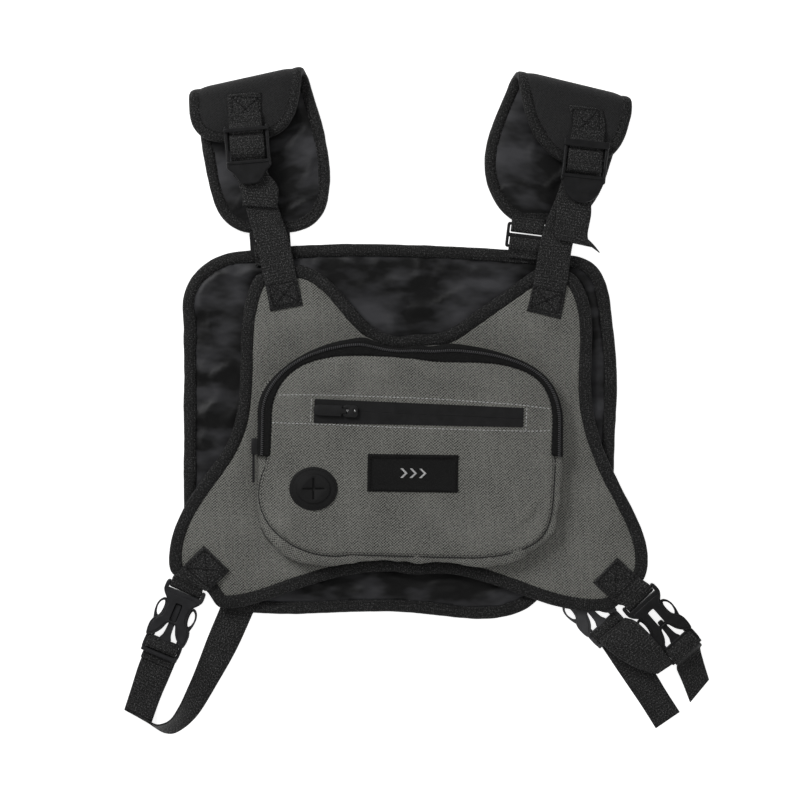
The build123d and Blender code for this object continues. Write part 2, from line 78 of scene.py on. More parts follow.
class Shade:
    """A principled material, with short calls for the nodes that its detail is made of."""

    def __init__(self, name, colour, roughness, **sockets):
        self.material = bpy.data.materials.new(name)
        self.material.use_nodes = True
        self.tree = self.material.node_tree
        self.shader = self.tree.nodes["Principled BSDF"]
        self.shader.inputs["Base Color"].default_value = (*colour, 1)
        self.shader.inputs["Roughness"].default_value = roughness
        for socket, value in sockets.items():
            self.shader.inputs[socket.replace("_", " ")].default_value = value

    def node(self, kind, inputs, **settings):
        node = self.tree.nodes.new("ShaderNode" + kind)
        for key, value in settings.items():
            setattr(node, key, value)
        for key, value in inputs.items():
            self.put(value, node.inputs[key])
        return node

    def put(self, value, socket):
        if isinstance(value, bpy.types.NodeSocket):
            self.tree.links.new(value, socket)
        else:
            socket.default_value = value

    def math(self, operation, a, b=0.0):
        return self.node("Math", {0: a, 1: b}, operation=operation).outputs[0]

    def mix(self, *shares):
        """The sum of (pattern, weight) pairs."""
        total = None
        for pattern, weight in shares:
            part = self.math("MULTIPLY", pattern, weight)
            total = part if total is None else self.math("ADD", total, part)
        return total

    def cloth_plane(self, scale, turn=0.0, squeeze=1.0):
        """The cloth's own coordinates in metres, scaled. squeeze above 1 makes a pattern longer one way."""
        plane = self.node("UVMap", {}, uv_map="Map").outputs[0]
        return self.node("Mapping", {"Vector": plane, "Scale": (scale, scale * squeeze, scale),
                                     "Rotation": (0, 0, math.radians(turn))}).outputs[0]

    def place(self):
        return self.node("TexCoord", {}).outputs["Object"]

    def noise(self, vector, scale, detail=2.0):
        return self.node("TexNoise", {"Vector": vector, "Scale": scale, "Detail": detail}).outputs[0]

    def ribs(self, period, turn=0.0, axis=0, ratio=1.0):
        """Ribs across a tape, which runs along the map's U, or with axis 1 along it."""
        split = self.node("SeparateXYZ", {0: self.cloth_plane(1 / (period * MM), turn)})
        return self.math("SINE", self.math("MULTIPLY", split.outputs[axis], TURN * ratio))

    def weave(self, period, turn=0.0, ratio=1.0):
        """Crossing threads, from -1 between them to 1 on top."""
        return self.math("MULTIPLY", self.ribs(period, turn), self.ribs(period, turn, 1, ratio))

    def colour(self, factor, *stops):
        ramp = self.node("ValToRGB", {0: factor})
        points = ramp.color_ramp.elements
        while len(points) < len(stops):
            points.new(0.5)
        for point, (where, colour) in zip(points, stops):
            point.position = where
            point.color = (*colour, 1)
        self.put(ramp.outputs[0], self.shader.inputs["Base Color"])

    def roughness(self, factor, low, high):
        spread = self.math("MULTIPLY", factor, high - low)
        self.put(self.math("ADD", spread, low), self.shader.inputs["Roughness"])

    def bump(self, height, distance, strength):
        relief = self.node("Bump", {"Height": height, "Distance": distance * MM, "Strength": strength})
        self.put(relief.outputs[0], self.shader.inputs["Normal"])


def grey(value, tint=0.0):
    """A grey by its screen value from 0 to 255, in linear light, with a little blue or, below 0, yellow."""
    linear = ((value / 255 + 0.055) / 1.055) ** 2.4
    return (linear, linear, linear * (1 + tint))


def oxford(name, dark, light, period, turn, tint):
    """Oxford cloth: crossing threads, uneven in colour."""
    shade = Shade(name, grey((dark + light) / 2, tint), 0.85, Specular_IOR_Level=0.25, Sheen_Weight=0.05,
                  Sheen_Roughness=0.5)
    threads = shade.weave(period, turn)
    twill = shade.ribs(period * 0.8, turn + 55)
    mottled = shade.noise(shade.cloth_plane(760), 1.0, 1.5)
    broad = shade.noise(shade.cloth_plane(26), 1.0, 3.0)
    mixed = shade.mix((threads, 0.34), (mottled, 0.9), (twill, 0.12), (broad, 0.35))
    shade.colour(mixed, (0.2, grey(dark, tint)), (0.92, grey(light, tint)))
    shade.bump(shade.mix((mixed, 1.0), (broad, 6.0)), 0.4, 0.8)
    return shade.material


def lining_cloth():
    """Smooth, slightly shiny lining, with soft pale bluish patches of painted sheen in its colour."""
    shade = Shade("lining_cloth", grey(14), 0.4, Specular_IOR_Level=0.35, Sheen_Weight=0.03,
                  Sheen_Roughness=0.35)
    painted_sheen_patches = shade.noise(shade.cloth_plane(20, 40, 2.2), 1.0, 3.0)
    fine = shade.weave(0.9)
    # The pale bluish stop is painted sheen: the satin's soft highlights put into the colour, on the same dark
    # cloth.
    shade.colour(painted_sheen_patches, (0.45, grey(3, 0.05)), (0.66, grey(64, 0.1)))
    shade.roughness(painted_sheen_patches, 0.4, 0.6)
    creased = shade.noise(shade.cloth_plane(110), 1.0, 2.5)
    shade.bump(shade.mix((fine, 0.05), (creased, 1.0)), 0.5, 0.35)
    return shade.material


def tape_cloth(name, dark, light, rib, weave, grain=900):
    """Woven tape and webbing: ribs across it, threads along it, and a grain of brighter threads."""
    shade = Shade(name, grey((dark + light) / 2), 0.7, Specular_IOR_Level=0.25, Sheen_Weight=0.03,
                  Sheen_Roughness=0.4)
    ribs = shade.ribs(rib)
    threads = shade.weave(weave, 0, 0.8)
    specks = shade.noise(shade.cloth_plane(grain), 1.0, 1.0)
    wear = shade.noise(shade.cloth_plane(60), 1.0, 3.0)
    mixed = shade.mix((ribs, 0.03), (threads, 0.1), (specks, 0.9), (wear, 0.15))
    middle = dark * 0.65 + light * 0.35
    shade.colour(mixed, (0.35, grey(dark)), (0.58, grey(middle)), (0.78, grey(light)))
    shade.bump(mixed, 0.6, 0.9)
    return shade.material


def moulded(name, value, roughness, tint=0.05, grain=2600, **sockets):
    """Moulded plastic, rubber or lacquered metal: a fine grain and slightly uneven gloss."""
    shade = Shade(name, grey(value, tint), roughness, **sockets)
    fine = shade.noise(shade.place(), grain, 2.0)
    broad = shade.noise(shade.place(), 160, 3.0)
    shade.colour(broad, (0.3, grey(value - 4, tint)), (0.75, grey(value + 5, tint)))
    shade.roughness(broad, roughness - 0.08, roughness + 0.1)
    shade.bump(fine, 0.05, 0.35)
    return shade.material


def thread(name, value):
    """Sewing thread, uneven along its twist."""
    shade = Shade(name, grey(value), 0.6, Specular_IOR_Level=0.25, Sheen_Weight=0.05)
    twist = shade.noise(shade.place(), 1900, 2.0)
    shade.colour(twist, (0.3, grey(value * 0.8)), (0.7, grey(min(value * 1.15, 250))))
    shade.bump(twist, 0.15, 0.6)
    return shade.material


GREY_CLOTH = oxford("grey_cloth", 4, 147, 2.1, 0, -0.08)
BLACK_CLOTH = oxford("black_cloth", 24, 52, 1.5, 0, 0.02)
FOAM_CLOTH = oxford("foam_cloth", 60, 80, 3.0, 20, 0)
LINING = lining_cloth()
BINDING_CLOTH = tape_cloth("binding_cloth", 10, 80, 1.5, 1.3, 900)
WEBBING_CLOTH = tape_cloth("webbing_cloth", 8, 100, 2.4, 1.15, 1050)
ZIP_CLOTH = tape_cloth("zip_cloth", 6, 34, 1.2, 0.9)
LABEL_CLOTH = tape_cloth("label_cloth", 14, 34, 0.9, 0.7, 1300)
DULL = {"Specular_IOR_Level": 0.3}
# The left buckle's plastic is a lighter, bluer copy of the dark buckle plastic: painted reflection on the
# same black plastic.
REFLECTION_LIT_PLASTIC = moulded("buckle_plastic", 42, 0.46, 0.08, **DULL)
DARK_PLASTIC = moulded("dark_buckle_plastic", 26, 0.42, 0.06, **DULL)
PALE_PLASTIC = moulded("rear_buckle_plastic", 68, 0.5, 0.05, **DULL)
COATING = moulded("coated_tape", 32, 0.6, 0.03, 900, Specular_IOR_Level=0.2)
COIL = moulded("zip_coil", 84, 0.35)
METAL = moulded("zip_metal", 28, 0.45, 0.05, 2600, Metallic=0.2)
STUD = moulded("zip_stud", 200, 0.2, 0.0, 2600, Metallic=0.9)
RUBBER = moulded("port_rubber", 22, 0.62, 0.02, 1500, **DULL)
PALE_THREAD = thread("pale_thread", 190)
BLACK_THREAD = thread("black_thread", 16)
MARK_THREAD = thread("mark_thread", 215)


# ---------------------------------------------------------------- Blender objects

def linked(name, data):
    """A new object in the scene."""
    thing = bpy.data.objects.new(name, data)
    bpy.context.scene.collection.objects.link(thing)
    return thing


def worked_out(thing):
    """A new mesh of an object's curves or modifiers."""
    bpy.context.view_layer.update()
    return bpy.data.meshes.new_from_object(thing.evaluated_get(bpy.context.evaluated_depsgraph_get()))


def cad_shape(node):
    """A CAD node's surface, with its doubled points merged."""
    shape = bmesh.new()
    shape.from_mesh(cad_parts[node].data)
    bmesh.ops.remove_doubles(shape, verts=shape.verts, dist=1e-6)
    return shape


# ---------------------------------------------------------------- plane geometry

def cap_loops(node):
    """The closed outlines of a slab's top, anticlockwise, the longest first."""
    shape = cad_shape(node)
    top = max(v.co.z for v in shape.verts) - 5e-5
    caps = {f for f in shape.faces if all(v.co.z > top for v in f.verts)}
    rim = [e for e in shape.edges if sum(f in caps for f in e.link_faces) == 1]
    following = {}
    for edge in rim:
        for a, b in (edge.verts, reversed(edge.verts)):
            following.setdefault(a, []).append(b)
    loops = []
    while following:
        here = next(iter(following))
        loop = []
        before = None
        while here in following:
            loop.append(tuple(here.co[:2]))
            options = [v for v in following.pop(here) if v is not before]
            before = here
            here = options[0]
        points = np.array(loop) / MM
        area = np.sum(points[:, 0] * np.roll(points[:, 1], -1) - points[:, 1] * np.roll(points[:, 0], -1))
        loops.append(points if area > 0 else points[::-1])
    shape.free()
    return sorted(loops, key=lambda p: -length(p, True))


def length(points, closed=False):
    return float(steps_along(np.vstack([points, points[:1]]) if closed else np.asarray(points))[-1])


def even(points, spacing, closed=False):
    """Points at even steps along a line or loop."""
    points = np.asarray(points, float)
    if closed:
        points = np.vstack([points, points[:1]])
    along = steps_along(points)
    count = max(3, round(along[-1] / spacing))
    where = np.linspace(0, along[-1], count if closed else count + 1, endpoint=not closed)
    return np.column_stack([np.interp(where, along, axis) for axis in points.T])


def soften(points, times, closed=True):
    """Rounds corners by averaging each point with its neighbours."""
    points = np.array(points, float)
    for _ in range(times):
        before, after = np.roll(points, 1, 0), np.roll(points, -1, 0)
        if not closed:
            before[0], after[-1] = points[0], points[-1]
        averaged = (before + 2 * points + after) / 4
        if not closed:
            averaged[0], averaged[-1] = points[0], points[-1]
        points = averaged
    return points


def unit(vectors):
    return vectors / np.linalg.norm(vectors, axis=1)[:, None]


def right_of(ahead):
    return np.column_stack([ahead[:, 1], -ahead[:, 0]])


def directions(points, closed):
    ahead = np.roll(points, -1, 0) - np.roll(points, 1, 0)
    if not closed:
        ahead[0] = points[1] - points[0]
        ahead[-1] = points[-1] - points[-2]
    return unit(ahead)


def outwards(loop):
    return right_of(directions(loop, True))


def round_angles(count):
    return np.linspace(0, TURN, count, endpoint=False)


def lifted(plan, height):
    """Points with one more coordinate: one for each of them, or the same for all."""
    return np.column_stack([plan, np.broadcast_to(height, len(plan))])


def steps_along(points):
    """How far along a line each of its points is."""
    return np.concatenate([[0], np.cumsum(np.linalg.norm(np.diff(points, axis=0), axis=1))])


def distance_to_loop(points, loop):
    return distance_to(points, loop, np.roll(loop, -1, 0))


def grown(loop, distance, times=2):
    """A loop moved outwards, or inwards where distance is below 0."""
    return soften(loop + outwards(loop) * distance, times)


def curve(points, spacing):
    """A smooth open curve through the points."""
    points = np.asarray(points, float)
    ends = np.vstack([2 * points[0] - points[1], points, 2 * points[-1] - points[-2]])
    parts = []
    for i in range(len(points) - 1):
        a, b, c, d = ends[i:i + 4]
        t = np.linspace(0, 1, max(2, round(length([b, c]) / spacing)), endpoint=False)[:, None]
        parts.append(0.5 * (2 * b + (c - a) * t + (2 * a - 5 * b + 4 * c - d) * t ** 2
                            + (3 * b - a - 3 * c + d) * t ** 3))
    return np.vstack([*parts, points[-1:]])


def distance_to(points, start, end):
    """Shortest distance from each point to any of the segments."""
    span = end - start
    best = np.full(len(points), np.inf)
    for a, d in zip(start, span):
        t = np.clip(((points - a) @ d) / max(d @ d, 1e-12), 0, 1)
        best = np.minimum(best, np.linalg.norm(points - a - t[:, None] * d, axis=1))
    return best


def within(points, loop):
    x, y = points.T
    inside = np.zeros(len(points), bool)
    for (x0, y0), (x1, y1) in zip(loop, np.roll(loop, -1, 0)):
        crosses = (y0 > y) != (y1 > y)
        inside ^= crosses & (x < (x1 - x0) * (y - y0) / ((y1 - y0) or 1e-12) + x0)
    return inside


def ease(value):
    value = np.clip(value, 0, 1)
    return value * value * (3 - 2 * value)


def nearness(x, y, centre, reach):
    """1 at a place in the plan, falling to 0 over a reach in each direction."""
    return np.exp(-((x - centre[0]) / reach[0]) ** 2 - ((y - centre[1]) / reach[1]) ** 2)


def swell(points, period, seed, octaves=2, stretch=(1, 1), turn=0.0):
    """Smooth noise, about -1 to 1, over points in the plane."""
    c, s = math.cos(math.radians(turn)), math.sin(math.radians(turn))
    x = (points[:, 0] * c + points[:, 1] * s) / stretch[0] / period
    y = (points[:, 1] * c - points[:, 0] * s) / stretch[1] / period
    total = np.zeros(len(points))
    for k in range(octaves):
        total += [noise.noise((a * 2 ** k, b * 2 ** k, seed + 9.7 * k)) / 1.8 ** k for a, b in zip(x, y)]
    return total * 1.6


def creases(points, period, seed, turn, thin, stretch=3.0):
    """Long folds with narrow crests, from 0 to 1."""
    bent = points + 0.35 * period * np.column_stack([swell(points, period * 2, seed + 3),
                                                     swell(points, period * 2, seed + 5)])
    folds = swell(bent, period, seed, 2, (stretch, 1), turn)
    return np.clip(1 - np.abs(folds), 0, 1) ** thin


# ---------------------------------------------------------------- meshes

def mesh_piece(name, parts, material):
    """A mesh object from its parts: points, faces, and a point in the cloth for each corner of each face."""
    points, faces, maps = parts
    mesh = bpy.data.meshes.new(name)
    mesh.from_pydata((np.asarray(points) * MM).tolist(), [], faces)
    layer = mesh.uv_layers.new(name="Map")
    layer.data.foreach_set("uv", (np.asarray(maps, np.float32) * MM).ravel())
    shape = bmesh.new()
    shape.from_mesh(mesh)
    bmesh.ops.recalc_face_normals(shape, faces=shape.faces)
    shape.to_mesh(mesh)
    shape.free()
    mesh.shade_smooth()
    mesh.materials.append(material)
    return linked(name, mesh)


def plan_mesh(outline, spacing):
    """Points and triangles that fill an outline."""
    rim = even(outline, spacing, True)
    low, high = rim.min(0), rim.max(0)
    xs = np.arange(low[0], high[0], spacing)
    ys = np.arange(low[1], high[1], spacing * 0.866)
    x, y = np.meshgrid(xs, ys)
    x[1::2] += spacing / 2
    grid = np.column_stack([x.ravel(), y.ravel()])
    grid = grid[within(grid, rim)]
    grid = grid[distance_to_loop(grid, rim) > spacing * 0.45]
    points = np.vstack([rim, grid])
    loop = [(i, (i + 1) % len(rim)) for i in range(len(rim))]
    corners, _, triangles, *_ = delaunay_2d_cdt([Vector(p) for p in points], loop, [], 1, 1e-6)
    return np.array([tuple(p) for p in corners]), [tuple(t) for t in triangles]


def rim_edges(triangles):
    """The edges with one triangle, as ordered pairs."""
    seen = set()
    for a, b, c in triangles:
        for edge in ((a, b), (b, c), (c, a)):
            if edge[::-1] in seen:
                seen.remove(edge[::-1])
            else:
                seen.add(edge)
    return sorted(seen)


def shell_parts(plan, triangles, top, bottom):
    """Points, faces and cloth map of a closed shell between two heights over a plan."""
    count = len(plan)
    points = np.vstack([lifted(plan, top), lifted(plan, bottom)])
    faces = [tuple(t) for t in triangles]
    faces += [(c + count, b + count, a + count) for a, b, c in triangles]
    flat = np.vstack([plan, plan])
    maps = [flat[i] for face in faces for i in face]
    for a, b in rim_edges(triangles):
        faces.append((b, a, a + count, b + count))
        drop = (0, top[a] - bottom[a])
        maps += [plan[b], plan[a], plan[a] + drop, plan[b] + drop]
    return points, faces, maps


KEPT_SPEED = 0.9
FALL = 0.004  # mm in each step
BENDING = 0.45
RELAXING = 1.6


def settle(plan, triangles, held, start, bed, slack, steps, ceiling):
    """A cloth with spare length, held at some points, that settles between a bed and a ceiling: its points.

    Position-based cloth: every edge, and every pair of points across an edge, pulls to its length."""
    edges = {}
    for t in triangles:
        for k in range(3):
            a, b, c = t[k], t[(k + 1) % 3], t[(k + 2) % 3]
            edges.setdefault((min(a, b), max(a, b)), []).append(c)
    pairs = np.array(list(edges))
    across = np.array([v for v in edges.values() if len(v) == 2])
    links = np.vstack([pairs, across])
    stiff = np.concatenate([np.full(len(pairs), 1.0), np.full(len(across), BENDING)])
    middle = (plan[links[:, 0]] + plan[links[:, 1]]) / 2
    rest = np.linalg.norm(plan[links[:, 0]] - plan[links[:, 1]], axis=1) * (1 + slack(middle))
    count = len(plan)
    busy = np.bincount(links.ravel(), minlength=count)
    place = np.column_stack([plan, start])
    before = place.copy()
    free = ~held
    for _ in range(steps):
        moved = place + KEPT_SPEED * (place - before)
        moved[:, 2] -= FALL
        before = place.copy()
        place = np.where(free[:, None], moved, place)
        for _ in range(3):
            gap = place[links[:, 1]] - place[links[:, 0]]
            far = np.linalg.norm(gap, axis=1)
            push = (0.5 * stiff * (far - rest) / np.maximum(far, 1e-9))[:, None] * gap
            change = np.column_stack([
                np.bincount(links[:, 0], push[:, k], count) - np.bincount(links[:, 1], push[:, k], count)
                for k in range(3)])
            place = place + np.where(free[:, None], change * (RELAXING / busy)[:, None], 0)
        place[:, 2] = np.minimum(np.maximum(place[:, 2], bed), ceiling)
    return place


def loft(rings, closed=False):
    """Faces and cloth map round rings of points, shaped (along, round, 3)."""
    rings = np.asarray(rings)
    rows, columns = rings.shape[:2]
    wrapped = np.concatenate([rings, rings[:, :1]], 1)
    around = np.concatenate([[0], np.cumsum(np.linalg.norm(np.diff(wrapped, axis=1), axis=2).mean(0))])
    middle = rings.mean(1)
    along = steps_along(np.vstack([middle, middle[:1]]) if closed else middle)
    faces, maps = [], []
    for i in range(rows if closed else rows - 1):
        for j in range(columns):
            here, there = i * columns, (i + 1) % rows * columns
            past = (j + 1) % columns
            faces.append((here + j, there + j, there + past, here + past))
            maps += [(along[i], around[j]), (along[i + 1], around[j]), (along[i + 1], around[j + 1]),
                     (along[i], around[j + 1])]
    if not closed:
        for row in (0, rows - 1):
            faces.append(tuple(row * columns + j for j in range(columns)))
            maps += [(along[row], around[j]) for j in range(columns)]
    return rings.reshape(-1, 3), faces, maps


def joined(*parts):
    """Several (points, faces, maps) as one."""
    points, faces, maps, base = [], [], [], 0
    for some_points, some_faces, some_maps in parts:
        points.append(some_points)
        faces += [tuple(i + base for i in face) for face in some_faces]
        maps += list(some_maps)
        base += len(some_points)
    return np.vstack(points), faces, maps


def dressed(piece, body, slot, *nodes):
    """The piece moves with a body and stands for CAD nodes; its slot is not used."""
    if body:
        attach(piece, body)
    if nodes:
        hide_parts(*nodes)
    return piece


def made(name, parts, material, body, slot, *nodes):
    return dressed(mesh_piece(name, parts, material), body, slot, *nodes)


def flat_size(plan):
    return tuple(float(v) * MM for v in np.ptp(plan, axis=0))


def plan_area(plan, triangles):
    a, b, c = (plan[[t[k] for t in triangles]] for k in range(3))
    return float(np.abs(np.cross(b - a, c - a)).sum() / 2) * MM * MM


def tape_ring(path, up, out, half_width, half_height, seed, pinch=0.05):
    """Rings of a padded tape folded over an edge: a flattened round, slightly uneven along its length."""
    turn = round_angles(18)
    side = np.sign(np.cos(turn)) * np.abs(np.cos(turn)) ** 0.75
    rise = np.sign(np.sin(turn)) * np.abs(np.sin(turn)) ** 0.6
    along = steps_along(path)
    spot = lifted(along, seed * 50.0)
    wide = half_width * (1 + pinch * (swell(spot, 26, seed) + 0.5 * swell(spot, 7, seed + 1)))
    puckers = np.abs(swell(spot, 18, seed + 2)) + 0.7 * np.abs(swell(spot, 6, seed))
    tall = half_height * (1 - pinch * puckers)
    seam = 1 - 0.16 * np.exp(-((side + 0.45) / 0.16) ** 2) * (rise != 0)
    return (path[:, None, :] + out[:, None, :] * (wide[:, None] * side)[:, :, None]
            + up[:, None, :] * (tall[:, None] * rise * seam)[:, :, None])


STITCH_RINGS = ((-0.5, 0.25, 0.7), (-0.3, 0.85, 0.1), (0, 1, 0), (0.3, 0.85, 0.1), (0.5, 0.25, 0.7))


def stitch_parts(path, pitch=3.4, long=2.3, radius=0.32, closed=False):
    """A row of stitches along a line in space, each a small bead that dips at both ends."""
    path = np.asarray(path, float)
    total = length(path, closed)
    count = max(1, int(total / pitch))
    looped = np.vstack([path, path[:1]]) if closed else path
    along = steps_along(looped)

    def at(where):
        return np.array([np.interp(where, along, axis) for axis in looped.T])

    parts = []
    for k in range(count):
        middle = (k + 0.5) * total / count
        rings = []
        for reach, thick, sink in STITCH_RINGS:
            where = np.clip(middle + reach * long, 0, along[-1])
            side = np.cross(at(where + 0.2) - at(where - 0.2), UP)
            side /= max(np.linalg.norm(side), 1e-9)
            centre = at(where) + np.array(UP) * radius * (0.35 - sink)
            rings.append([centre + radius * thick * (side * math.cos(a) + np.array(UP) * math.sin(a))
                          for a in round_angles(6)])
        parts.append(loft(rings))
    return joined(*parts)


def sewn(name, rows, material, body, slot="binding", **sizes):
    """Rows of stitches as one piece. A row is its points in space and whether it is a loop."""
    parts = joined(*[stitch_parts(path, closed=closed, **sizes) for path, closed in rows])
    return made(name, parts, material, body, slot)


WEBBING_EDGE = [(-1, 0), (-0.975, 0.75), (-0.9, 1), (-0.6, 0.94), (-0.2, 0.92), (0.2, 0.92), (0.6, 0.94),
                (0.9, 1), (0.975, 0.75), (1, 0), (0.975, -0.75), (0.9, -1), (0.3, -0.92), (-0.3, -0.92),
                (-0.9, -1), (-0.975, -0.75)]


def ribbon_rings(edge_a, edge_b, thick=WEBBING_THICK, spacing=2.5, seed=0.0, wave=0.25):
    """Rings of webbing between two edge lines, each a list of points in space with the same count."""
    a, other = curve(edge_a, spacing), curve(edge_b, spacing)
    steps, other_steps = np.linspace(0, 1, len(a)), np.linspace(0, 1, len(other))
    b = np.column_stack([np.interp(steps, other_steps, axis) for axis in other.T])
    across = b - a
    middle = (a + b) / 2
    up = unit(np.cross(across, directions(middle, False)))
    if up[:, 2].mean() < 0:
        up = -up
    spot = lifted(np.linspace(0, length(middle), len(middle)), 40 * seed)
    lift = wave * swell(spot, 22, seed + 0.4)
    return np.array([[m + w * v / 2 + n * (h * thick / 2 + rise) for v, h in WEBBING_EDGE]
                     for m, w, n, rise in zip(middle, across, up, lift)])


def ribbon(name, edge_a, edge_b, body, *nodes, **shape):
    rings = ribbon_rings(edge_a, edge_b, **shape)
    return made(name, loft(rings), WEBBING_CLOTH, body, "webbing", *nodes)


def plate(loops, low, high, bevel, rounds=2):
    """A moulded plate between two heights: the first loop is its outline and the others are holes."""
    data = bpy.data.curves.new("plate", "CURVE")
    data.dimensions = "2D"
    data.fill_mode = "BOTH"
    data.extrude = ((high - low) / 2 - bevel) * MM
    data.bevel_depth = bevel * MM
    data.bevel_resolution = 2
    data.offset = -bevel * MM
    for loop in loops:
        rounded = np.asarray(loop, float)
        for _ in range(rounds):
            after = np.roll(rounded, -1, 0)
            rounded = np.stack([0.8 * rounded + 0.2 * after, 0.2 * rounded + 0.8 * after], 1).reshape(-1, 2)
        spline = data.splines.new("POLY")
        spline.points.add(len(rounded) - 1)
        for point, (x, y) in zip(spline.points, rounded):
            point.co = (x * MM, y * MM, 0, 1)
        spline.use_cyclic_u = True
    maker = linked("plate", data)
    mesh = worked_out(maker)
    points = np.array([tuple(v.co) for v in mesh.vertices]) / MM + (0, 0, (low + high) / 2)
    faces = [tuple(f.vertices) for f in mesh.polygons]
    bpy.data.objects.remove(maker)
    bpy.data.curves.remove(data)
    bpy.data.meshes.remove(mesh)
    return points, faces, [(0, 0)] * sum(len(f) for f in faces)


def box(low_u, high_u, half_v, corner=0.6, middle=0.0):
    """A rectangle in (u, v) with cut corners, for plate to round."""
    c, low_v, high_v = corner, middle - half_v, middle + half_v
    return [(low_u + c, low_v), (high_u - c, low_v), (high_u, low_v + c), (high_u, high_v - c),
            (high_u - c, high_v), (low_u + c, high_v), (low_u, high_v - c), (low_u, low_v + c)]


def rod(start, end, radius):
    """A bar with rounded ends."""
    start, end = np.array(start, float), np.array(end, float)
    ahead = (end - start) / np.linalg.norm(end - start)
    side = np.cross(ahead, UP)
    rings = []
    for t in np.linspace(-math.pi / 2, math.pi / 2, 7).tolist():
        middle = (start if t < 0 else end) + ahead * radius * 0.5 * math.sin(t)
        if abs(t) < 1e-9:
            middle = (start + end) / 2
        wide = radius * (math.cos(t) if abs(t) > 1e-9 else 1) + 0.02
        rings.append([middle + wide * (side * math.cos(a) + np.array(UP) * math.sin(a))
                      for a in round_angles(16)])
    return loft(rings)


class Axis:
    """A part's own directions: u along its strap or zip and v across it."""

    def __init__(self, origin, angle, z=0.0):
        self.origin, self.z = np.array(origin, float), z
        turn = math.radians(angle)
        self.u = np.array((math.cos(turn), math.sin(turn)))
        self.v = np.array((-math.sin(turn), math.cos(turn)))

    def at(self, u, v, z):
        return (*(self.origin + self.u * u + self.v * v), self.z + z)

    def edges(self, profile, half=WEBBING / 2):
        return [[self.at(u, sign * half, z) for u, z in profile] for sign in (1, -1)]

    def put(self, *parts):
        """Parts made in (u, v, z), joined and put in the vest's frame."""
        points, faces, maps = joined(*parts)
        directions = np.array([(*self.u, 0), (*self.v, 0), UP])
        return points @ directions + (*self.origin, self.z), faces, maps


def moulding(name, parts, material, body, slot, *nodes, sharp=38):
    piece = made(name, parts, material, body, slot, *nodes)
    piece.data.set_sharp_from_angle(angle=math.radians(sharp))
    return piece


def bevelled(node, width, material, slot, body):
    """A CAD node's own shape with its edges rounded off."""
    shape = cad_shape(node)
    bmesh.ops.dissolve_limit(shape, angle_limit=math.radians(2), verts=shape.verts, edges=shape.edges)
    mesh = bpy.data.meshes.new(node)
    shape.to_mesh(mesh)
    shape.free()
    piece = linked(node + "_finished", mesh)
    rounding = piece.modifiers.new("rounding", "BEVEL")
    rounding.width = width * MM
    rounding.segments = 2
    rounding.limit_method = "ANGLE"
    rounding.angle_limit = math.radians(40)
    done = worked_out(piece)
    piece.modifiers.clear()
    piece.data = done
    done.shade_smooth()
    done.set_sharp_from_angle(angle=math.radians(38))
    done.materials.clear()
    done.materials.append(material)
    return dressed(piece, body, slot, node)


# ---------------------------------------------------------------- panels

def cloth_panel(name, node, body, slot, material, height, low, spacing=4.0):
    """A thin closed cloth over a CAD slab's outline.

    height gives the top's heights or its settled points, and low gives the underside from the top."""
    outline = grown(even(cap_loops(node)[0], 3.0, True), 2.0)
    plan, triangles = plan_mesh(outline, spacing)
    top = height(plan, triangles, distance_to_loop(plan, outline))
    plan_now, top_now = (top[:, :2], top[:, 2]) if top.ndim == 2 else (plan, top)
    parts = shell_parts(plan_now, triangles, top_now, low(top_now))
    piece = made(name, parts, material, body, slot, node)
    flat_size(outline)
    plan_area(plan, triangles)


FRONT_LOOP = even(cap_loops("front_panel_binding")[0], 3.0, True)


def lining_height(plan, triangles, edge):
    """The lining has spare cloth and settles in folds on the foam, lower where the front panel lies on it."""
    cover = distance_to_loop(plan, FRONT_LOOP)
    cover = np.where(within(plan, FRONT_LOOP), cover, -cover)
    room = 2.0 + 4.6 * ease(-cover / 22)
    bed = BACK_TOP - 0.5 - 0.7 * ease(1 - edge / 7)
    broad = creases(plan, 46, 4.0, -28, 2.2, 3.2)
    fine = creases(plan, 24, 9.0, 62, 3.0, 3.4)
    start = bed + room * (0.62 * broad + 0.22 * fine) * ease(edge / 9)

    def slack(middle):
        near = distance_to_loop(middle, BACK_LOOP)
        return 0.009 + 0.018 * ease(1 - near / 30) + 0.01 * creases(middle, 40, 7.0, 30, 1.5)

    return settle(plan, triangles, edge < 2.6, start, bed, slack, 160, bed + room)


BACK_LOOP = even(cap_loops("back_panel_binding")[0], 3.0, True)


def panel_binding(name, loop, low, high, body, seed, *nodes):
    """Tape folded over a panel's edge, with a row of stitches near its inner side."""
    loop = soften(even(loop, 2.5, True), 3)
    path = lifted(grown(loop, -BINDING / 2 + 0.2), (low + high) / 2)
    up = np.tile(UP, (len(path), 1))
    rings = tape_ring(path, up, lifted(outwards(loop), 0), BINDING / 2 + 0.3, (high - low) / 2, seed)
    made(name, loft(rings, True), BINDING_CLOTH, body, "binding", *nodes)
    row = even(grown(loop, -BINDING + 2.3, 3), 2.0, True)
    sewn(name + "_stitches", [(lifted(row, high - 0.35), True)], BLACK_THREAD, body)


def foam_slab(name, node, body, low, high):
    """The padding inside a panel, crowned towards its middle."""
    outline = grown(even(cap_loops(node)[0], 5.0, True), 1.0)
    plan, triangles = plan_mesh(outline, 9.0)
    crown = ease(distance_to_loop(plan, outline) / 14)
    parts = shell_parts(plan, triangles, high - 0.9 + 0.5 * crown, low + 0.6 - 0.4 * crown)
    piece = made(name, parts, FOAM_CLOTH, body, "foam", node)


def back_panel():
    cloth_panel("back_lining_cloth", "back_panel_lining", "back", "black_lining", LINING, lining_height,
                lambda top: np.minimum(top - 0.6, BACK_TOP - 0.9))
    foam_slab("back_padding", "back_panel_foam", "back", 1.0, BACK_TOP - 0.8)
    cloth_panel("back_outer_cloth", "back_panel_outer", "back", "black_fabric", GREY_CLOTH,
                lambda plan, *_: 1.2 + 0.25 * swell(plan, 50, 2.0), lambda top: np.maximum(top - 0.9, 0.05),
                7.0)
    panel_binding("back_binding", BACK_LOOP, 0.1, BACK_RIM + 0.7, "back", 1.0, "back_panel_binding")


